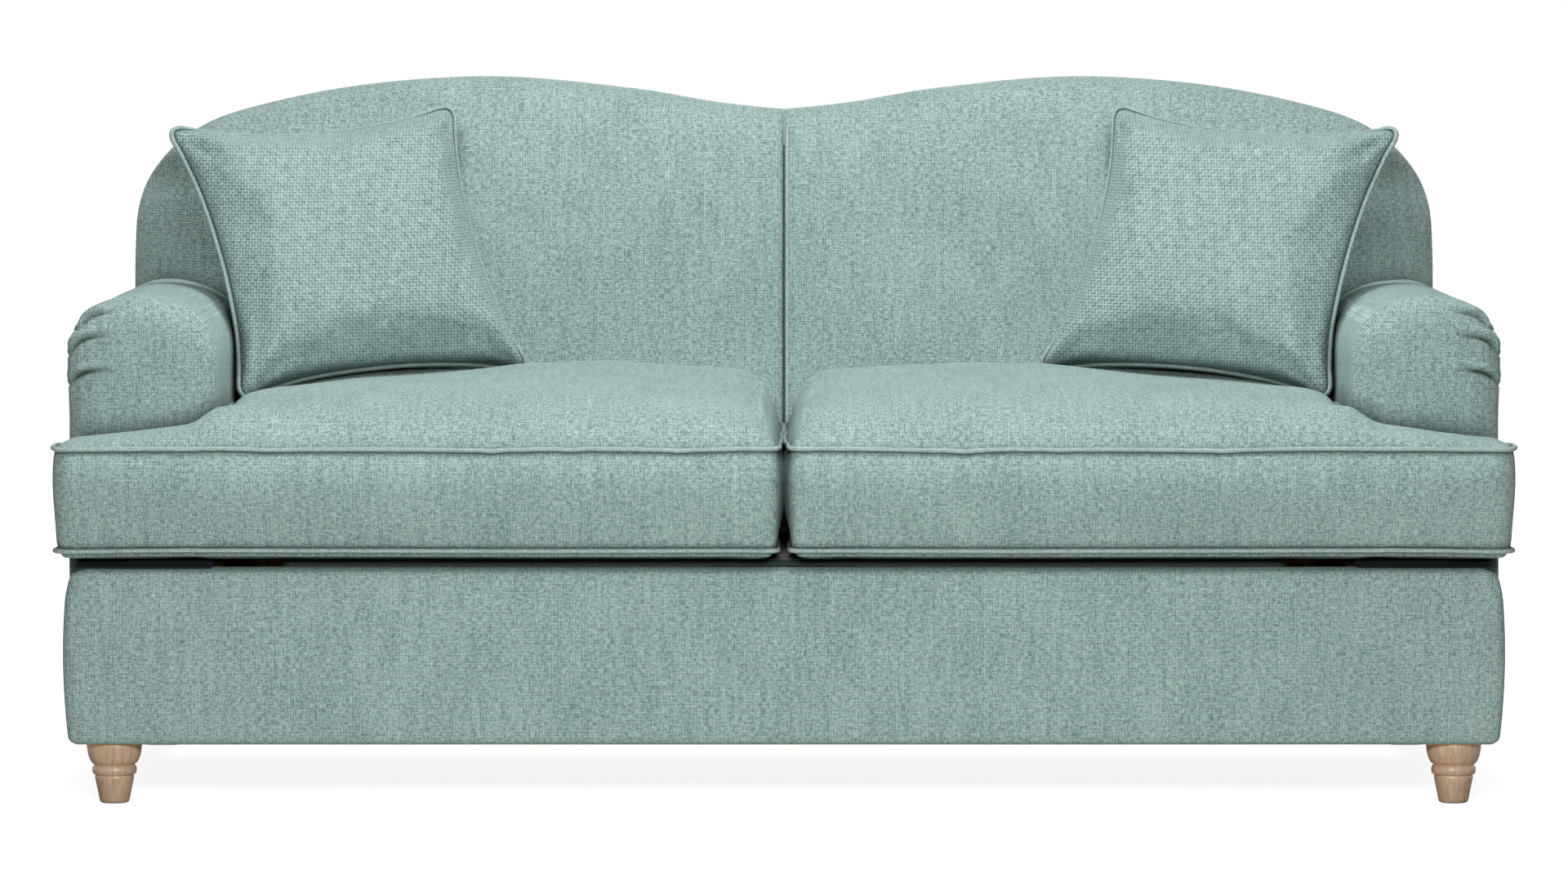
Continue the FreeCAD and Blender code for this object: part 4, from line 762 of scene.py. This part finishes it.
def makeSeat(side, sign):
    s = seatShape

    def cells(a, b):
        return np.linspace(a, b, max(2, int(round((b - a) / s["step"])) + 1))

    xs = np.concatenate([cells(s["seam"], s["arm"]), cells(s["arm"], s["ear"])[1:]])
    ys = np.concatenate([cells(s["front"], s["earRear"]), cells(s["earRear"], s["rear"])[1:]])
    armAt = int(np.argmin(abs(xs - s["arm"])))
    earAt = int(np.argmin(abs(ys - s["earRear"])))
    nx, ny = len(xs), len(ys)
    inside = [(i, j) for i in range(nx) for j in range(ny) if j <= earAt or i <= armAt]
    loop = [(i, 0) for i in range(nx)] + [(nx - 1, j) for j in range(1, earAt + 1)]
    loop += [(i, earAt) for i in range(nx - 2, armAt - 1, -1)] + [(armAt, j) for j in range(earAt + 1, ny)]
    loop += [(i, ny - 1) for i in range(armAt - 1, -1, -1)] + [(0, j) for j in range(ny - 2, 0, -1)]

    def plan(x, y):  # rounds the outward corners of the T
        for cornerX, cornerY, signX, signY in ((s["seam"], s["front"], -1, -1), (s["ear"], s["front"], 1, -1),
                                               (s["ear"], s["earRear"], 1, 1), (s["arm"], s["rear"], 1, 1),
                                               (s["seam"], s["rear"], -1, 1)):
            radius = s["seamRadius"] if signX < 0 else s["cornerRadius"]
            x, y = roundCorner(x, y, cornerX, cornerY, signX, signY, radius)
        return x, y

    def tucked(y):  # how far the border's foot is drawn back at the front
        return s["tuck"] * (1 - smoothStep(y - s["front"], 0, s["tuckReach"]))

    verts, top, low = [], {}, {}
    for i, j in inside:
        top[i, j] = len(verts)
        verts.append((*plan(xs[i], ys[j]), s["border"] + s["crown"] * seatCrown(xs[i], ys[j])))
    for i, j in inside:
        x, y = plan(xs[i], ys[j])
        low[i, j] = len(verts)
        verts.append((min(max(x, s["seam"] + s["underInset"]), s["ear"] - s["underInset"]),
                      y + float(tucked(y)), s["low"]))
    faces = []
    for i, j in inside:
        square = [(i, j), (i + 1, j), (i + 1, j + 1), (i, j + 1)]
        if all(key in top for key in square):
            faces.append([top[key] for key in square])
            faces.append([low[square[n]] for n in (0, 3, 2, 1)])
    rings = [[low[key] for key in loop]]
    topLoop = np.array([verts[top[key]] for key in loop])
    tangent = np.roll(topLoop, -1, axis=0) - np.roll(topLoop, 1, axis=0)
    outward = np.stack([tangent[:, 1], -tangent[:, 0], 0 * tangent[:, 0]], axis=-1)
    outward /= np.linalg.norm(outward, axis=1)[:, None]
    foot = topLoop.copy()
    foot[:, 1] += 0.8 * tucked(foot[:, 1])
    foot[:, 2] = s["low"] + s["underLift"]
    bulge = (s["sideBulge"] + (s["bulge"] - s["sideBulge"]) * np.clip(-outward[:, 1], 0, 1) ** 2)[:, None]
    for t in np.concatenate([[0, 0.02, 0.06], np.linspace(0.14, 0.86, 9), [0.94, 0.98]]):
        near, far = (math.exp(-(away / s["pinchWidth"]) ** 2) for away in (t, 1 - t))
        pinch = 0 if t == 0 else s["pinch"] * (near + far)
        ring = foot + (topLoop - foot) * t + outward * (bulge * math.sin(math.pi * t ** 1.7) ** 0.8 - pinch)
        rings.append(list(range(len(verts), len(verts) + len(loop))))
        verts += [tuple(v) for v in ring]
    rings.append([top[key] for key in loop])
    for a, b in zip(rings, rings[1:]):
        for k in range(len(loop)):
            n = (k + 1) % len(loop)
            faces.append([a[k], a[n], b[n], b[k]])
    verts = np.array(verts)
    onTop = smoothStep(verts[:, 2], s["border"], s["border"] + 0.02)
    verts[:, 2] += onTop * ripple(verts, 0.13, 0.0028, 11.0 + sign)
    body = "seat_cushion_" + side
    cushion = addPiece("seat_cushion_cover_" + side, *sided(verts, faces, sign), chenille, body=body)
    stuff(cushion, s["pressure"], s["cap"], s["frames"])
    shaped = pointsOf(cushion)
    shaped[:, 2] = np.maximum(shaped[:, 2], s["low"])
    setPoints(cushion, shaped)
    smoothOut(cushion)
    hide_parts("seat_cushion_" + side)
    for name, ring in (("top", rings[-1]), ("bottom", rings[1])):
        line = evenly(shaped[ring] + outward * (sign, 1, 1) * s["pipingOut"], 420, closed=True)
        addPiece("seat_%s_piping_%s" % (name, side), *tubeAlong(line, s["piping"]), pipingCloth, body=body)


for side, sign in bothSides:
    makeSeat(side, sign)
print("seat cushions made")


# Scatter cushions: two faces sewn with a piped edge, stuffed until they crown

scatterShape = {
    "half": 0.231, "thick": 0.146, "cells": 44, "crowd": 0.86, "draw": 0.115, "cornerShare": 0.13,
    "flatness": 2.3, "fullness": 0.56, "crease": 0.005, "folds": 9, "foldsAt": 0.07, "foldsWidth": 0.04,
    "settle": (0.006, 0, -0.009), "roll": 4.5, "lean": 31.0, "yaw": 22.0,
    "piping": 0.0038, "pipingOut": 0.0026, "pressure": 5.0, "cap": 0.014, "frames": 18,
}


def makeScatter(side, sign):
    s = scatterShape
    n = s["cells"]
    quarter = math.pi / 2 * s["crowd"]
    grid = np.sin(np.linspace(-1, 1, n + 1) * quarter) / math.sin(quarter)
    verts, faceAt = [], {}
    for front in (True, False):
        for i in range(n + 1):
            for j in range(n + 1):
                if not front and (i in (0, n) or j in (0, n)):
                    faceAt[front, i, j] = faceAt[True, i, j]
                    continue
                u, v = grid[i], grid[j]
                toU, toV = math.copysign(1, u), math.copysign(1, v)
                cu, cv = roundCorner(u, v, toU, toV, toU, toV, s["cornerShare"])
                x = s["half"] * cu * (1 - s["draw"] * (1 - v * v) * u * u)
                z = s["half"] * cv * (1 - s["draw"] * (1 - u * u) * v * v)
                fromCorner = math.hypot(1 - abs(cu), 1 - abs(cv)) * s["half"]
                fan = math.cos(s["folds"] * (math.atan2(1 - abs(cu), 1 - abs(cv) + 1e-9) - math.pi / 4))
                crease = s["crease"] * fan * math.exp(-((fromCorner - s["foldsAt"]) / s["foldsWidth"]) ** 2)
                full = (1 - abs(u) ** s["flatness"]) * (1 - abs(v) ** s["flatness"])
                depth = s["thick"] / 2 * full ** s["fullness"]
                depth = max(0, depth + crease * min(1, depth / 0.02))
                faceAt[front, i, j] = len(verts)
                verts.append((x, -depth if front else depth, z))
    faces = []
    for front in (True, False):
        for i in range(n):
            for j in range(n):
                square = ((i, j), (i + 1, j), (i + 1, j + 1), (i, j + 1))
                quad = [faceAt[(front, *at)] for at in square]
                faces.append(quad if front else quad[::-1])
    edge = [faceAt[True, i, 0] for i in range(n)] + [faceAt[True, n, j] for j in range(n)]
    edge += [faceAt[True, i, n] for i in range(n, 0, -1)] + [faceAt[True, 0, j] for j in range(n, 0, -1)]
    verts = np.array(verts)
    verts[:, 1] += ripple(verts, 0.09, 0.004, 21.0 + sign) * smoothStep(abs(verts[:, 1]), 0.0, 0.03)
    body = "scatter_cushion_" + side
    low, high = (np.array(v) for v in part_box("scatter_cushion_" + side))
    turn = Matrix()
    for axis, degrees in (("Z", -s["yaw"]), ("X", -s["lean"]), ("Y", s["roll"])):
        turn = turn @ Matrix.Rotation(math.radians(degrees), 4, axis)
    pillow = addPiece("scatter_cushion_cover_" + side, verts, faces, basketWeave, "scatter_fabric", body)
    stuff(pillow, s["pressure"], s["cap"], s["frames"], stiffness=12.0)
    placed = np.array([(turn @ Vector(p))[:] for p in pointsOf(pillow)])
    centre = (low + high) / 2 * (sign, 1, 1)
    placed = (placed + centre + np.array(s["settle"])) * (sign, 1, 1)
    if sign < 0:
        pillow.data.flip_normals()
    setPoints(pillow, placed)
    smoothOut(pillow)
    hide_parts("scatter_cushion_" + side)
    middle = placed[edge].mean(axis=0)
    line = evenly(placed[edge] + (placed[edge] - middle) * s["pipingOut"] / s["half"], 360, closed=True)
    addPiece("scatter_piping_" + side, *tubeAlong(line, s["piping"]), pipingCloth, "scatter_fabric", body)


for side, sign in bothSides:
    makeScatter(side, sign)
print("scatter cushions made")


# Padded front of the base, with its returns and, under the cushion ears, a shelf and an apron in near-black
# lining that paints the shade in the gap

baseShape = {
    "half": 0.983, "front": -0.455, "rear": -0.3725, "low": 0.0845, "top": 0.3245, "thick": 0.0115,
    "corner": 0.022, "edge": 0.010, "bulge": 0.003, "lip": 0.0300, "lipZ": (0.0030, 0.0009),
    "shoulder": 0.050, "shoulderIn": 0.011, "sideSwell": 0.005, "sideFrom": (0.10, 0.012),
    "shelfTop": 0.3368, "shelfInner": 0.7815, "shelfBack": 0.036, "shelfDrop": 0.030, "shelfRound": 0.0055,
    "apronIn": 0.011, "apronDrop": 0.022, "apronRise": 0.0034, "apronPast": 0.01, "apronRound": 0.0030,
}


def makeBase():
    b = baseShape
    h, front, rear = b["half"], b["front"], b["rear"]
    corners = [(-h, rear), (-h, front), (h, front), (h, rear)]
    path = evenly(roundedLine(corners, [0, b["corner"], b["corner"], 0]), 420)
    tangent = np.gradient(path, axis=0)
    tangent /= np.linalg.norm(tangent, axis=1)[:, None]
    outward = np.stack([tangent[:, 1], -tangent[:, 0]], axis=-1)
    e, low, top = b["edge"], b["low"], b["top"]
    lipHigh, lipLow = (top + rise for rise in b["lipZ"])
    section = [(-b["thick"], low)]
    section += [(-e * (1 - math.sin(a)), low + e * (1 - math.cos(a))) for a in np.linspace(0.3, math.pi / 2, 5)]
    section += [(0, z) for z in np.linspace(low + e, top - e, 22)[1:-1]]
    section += [(-e * (1 - math.cos(a)), top - e * (1 - math.sin(a))) for a in np.linspace(0, math.pi / 2, 6)]
    section[-1] = (section[-1][0], lipHigh)
    section += [(-b["lip"], lipHigh), (-b["lip"], lipLow), (-b["thick"], lipLow)]
    rows = []
    for out, z in section:
        t = min(max((z - low) / (top - low), 0), 1)
        swell = b["bulge"] * (math.sin(math.pi * t) ** 0.5 - 1) if out > -b["thick"] else 0
        flat = path + outward * (out + swell)
        rows.append(np.column_stack([flat, np.full(len(flat), z)]))
    verts = np.vstack(rows)
    atSide = smoothStep(abs(verts[:, 0]), *(h - reach for reach in b["sideFrom"]))
    rise = np.clip((verts[:, 2] - top + b["shoulder"]) / b["shoulder"], 0, 1)
    share = np.clip((verts[:, 2] - low) / (top - low), 0, 1)
    shift = b["sideSwell"] * np.sin(math.pi * share) - b["shoulderIn"] * (1 - np.sqrt(1 - rise ** 2))
    verts[:, 0] += np.sign(verts[:, 0]) * atSide * shift
    verts[:, 1] += ripple(verts, 0.2, 0.0012, 31.0)
    faces = gridFaces(len(rows), len(path))
    last = (len(rows) - 1) * len(path)
    for k in range(len(path) - 1):
        faces.append([k + 1, k, last + k, last + k + 1])
    starts = [r * len(path) for r in range(len(rows))]
    faces.append(starts)
    faces.append([r + len(path) - 1 for r in starts][::-1])
    verts = list(verts)
    panelFaces = len(faces)
    inner, outer, shelfY = b["shelfInner"], h - b["apronIn"], front + b["shelfBack"]
    shelf = ((inner, shelfY, top - b["shelfDrop"]), (outer, rear, b["shelfTop"]), b["shelfRound"])
    apron = ((inner, front + b["apronIn"], top - b["apronDrop"]),
             (outer, shelfY + b["apronPast"], top + b["apronRise"]), b["apronRound"])
    for sign in (-1, 1):
        for boxLow, boxHigh, radius in (shelf, apron):
            box, boxFaces = sided(*softBox(boxLow, boxHigh, radius, 0.02), sign)
            faces += [[index + len(verts) for index in face] for face in boxFaces]
            verts += list(box)
    panel = addPiece("base_front_padding", verts, faces, chenille)
    # painted shade: the shelf and apron take the near-black lining, so the gap under the cushions reads dark
    panel.data.materials.append(shadeDarkLining)
    for face in panel.data.polygons[panelFaces:]:
        face.material_index = 1
    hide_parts("base_cover")


outsideShape = {
    "top": [(0, 0.882), (0.06, 0.885), (0.215, 0.911), (0.402, 0.929), (0.588, 0.916), (0.740, 0.885),
            (0.817, 0.855), (0.866, 0.810), (0.890, 0.760), (0.896, 0.700), (0.895, 0.605)],
    "low": [(0.895, 0.604), (0.982, 0.604), (0.982, 0.0855), (0.0, 0.0855)], "lowRadii": [0, 0.012, 0.010, 0],
    "pole": (0.0, 0.45), "face": 0.433, "rakeFrom": 0.600, "rake": 4.2, "middleY": (0.4445, 0.4335),
    # each ring's share of the way out from the pole, and how far it stands behind the face
    "rings": [(0.15, 0.0115), (0.4, 0.0115), (0.65, 0.0115), (0.85, 0.0115), (0.95, 0.0112), (0.98, 0.0100),
              (0.995, 0.0070), (1.0, 0.0035), (1.0, 0.0005), (0.9, 0.0005), (0.5, 0.0005)],
}


def makeOutsideBack():
    o = outsideShape
    half = np.vstack([evenly(smoothLine(o["top"]), 110), roundedLine(o["low"], o["lowRadii"])])
    half = evenly(half, 260)
    outline = np.vstack([half[1:-1], (half * (-1, 1))[::-1]])
    pole = np.array(o["pole"])
    rows = []
    for share, back in o["rings"]:
        flat = pole + (outline - pole) * share
        raked = np.maximum(0, flat[:, 1] - o["rakeFrom"]) * math.tan(math.radians(o["rake"]))
        rows.append(np.column_stack([flat[:, 0], o["face"] + raked + back, flat[:, 1]]))
    rear, front = ((pole[0], y, pole[1]) for y in o["middleY"])
    cloth = addPiece("outside_back", *closedShape(rows, rear, front, flip=False), backCloth, "rear_fabric")
    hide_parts("back_cover")


makeBase()
makeOutsideBack()
print("base and outside back made")


# Turned front feet

footShape = {
    "x": 0.921, "y": -0.402, "sides": 64,
    "profile": [(0, 0), (17, 0), (19.6, 1.4), (20.7, 4.5), (22.2, 12), (24.2, 22), (26.0, 31), (26.9, 35.4),
                (26.6, 37.2), (26.2, 38.4), (27.6, 39.2), (29.6, 40.8), (30.5, 43.6), (30.6, 46.6),
                (30.0, 49.6), (28.4, 51.6), (27.8, 52.6), (29.0, 53.8), (31.2, 55.6), (33.4, 59),
                (35.6, 64.5), (37.0, 71), (37.8, 77), (38.0, 82), (37.4, 84), (0, 84)],  # radius, height, mm
}


def makeFeet():
    f = footShape
    verts, faces = [], []
    profile = f["profile"][1:-1]
    angles = [2 * math.pi * k / f["sides"] for k in range(f["sides"])]
    for sign in (-1, 1):
        start = len(verts)
        for r, z in profile:
            for angle in angles:
                x, y = r / 1000 * math.cos(angle), r / 1000 * math.sin(angle)
                verts.append((sign * f["x"] + x, f["y"] + y, z / 1000))
        faces += gridFaces(len(profile), f["sides"], wrap=True, start=start)
        faces.append(list(range(start, start + f["sides"]))[::-1])
        faces.append(list(range(len(verts) - f["sides"], len(verts))))

    feet = addPiece("turned_feet", verts, faces, beech, "turned_wood")
    feet.data.set_sharp_from_angle(angle=math.radians(50))
    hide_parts("front_feet")


makeFeet()


# Mattress pads, one on each section, quilted in cross channels, with charcoal sides that also paint shade

mattressShape = {"round": 0.014, "channel": 0.105, "depth": 0.0045, "width": 0.010, "step": 0.016,
                 "inset": 0.0006, "faceFrom": (0.026, 0.034)}


def makeMattress(section):
    m = mattressShape
    low, high = (np.array(v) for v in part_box(section + "_mattress"))
    low, high = low + m["inset"], high - m["inset"]
    verts, faces = softBox(low, high, m["round"], m["step"])
    height = verts[:, 2] - (low[2] + high[2]) / 2
    for axis, spacing in ((0, 2 * m["channel"]), (1, m["channel"])):
        count = max(2, int(round((high[axis] - low[axis]) / spacing)))
        for line in np.linspace(low[axis], high[axis], count + 1)[1:-1]:
            dip = m["depth"] * np.exp(-((verts[:, axis] - line) / m["width"]) ** 2)
            height -= np.sign(height) * smoothStep(abs(height), *m["faceFrom"]) * dip * 0.7
    verts[:, 2] = height + (low[2] + high[2]) / 2
    pad = addPiece(section + "_mattress_pad", verts, faces, ticking, "mattress_cloth", section + "_section")
    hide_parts(section + "_mattress")


for section in ("head", "middle", "foot"):
    makeMattress(section)
print("mattress pads made")
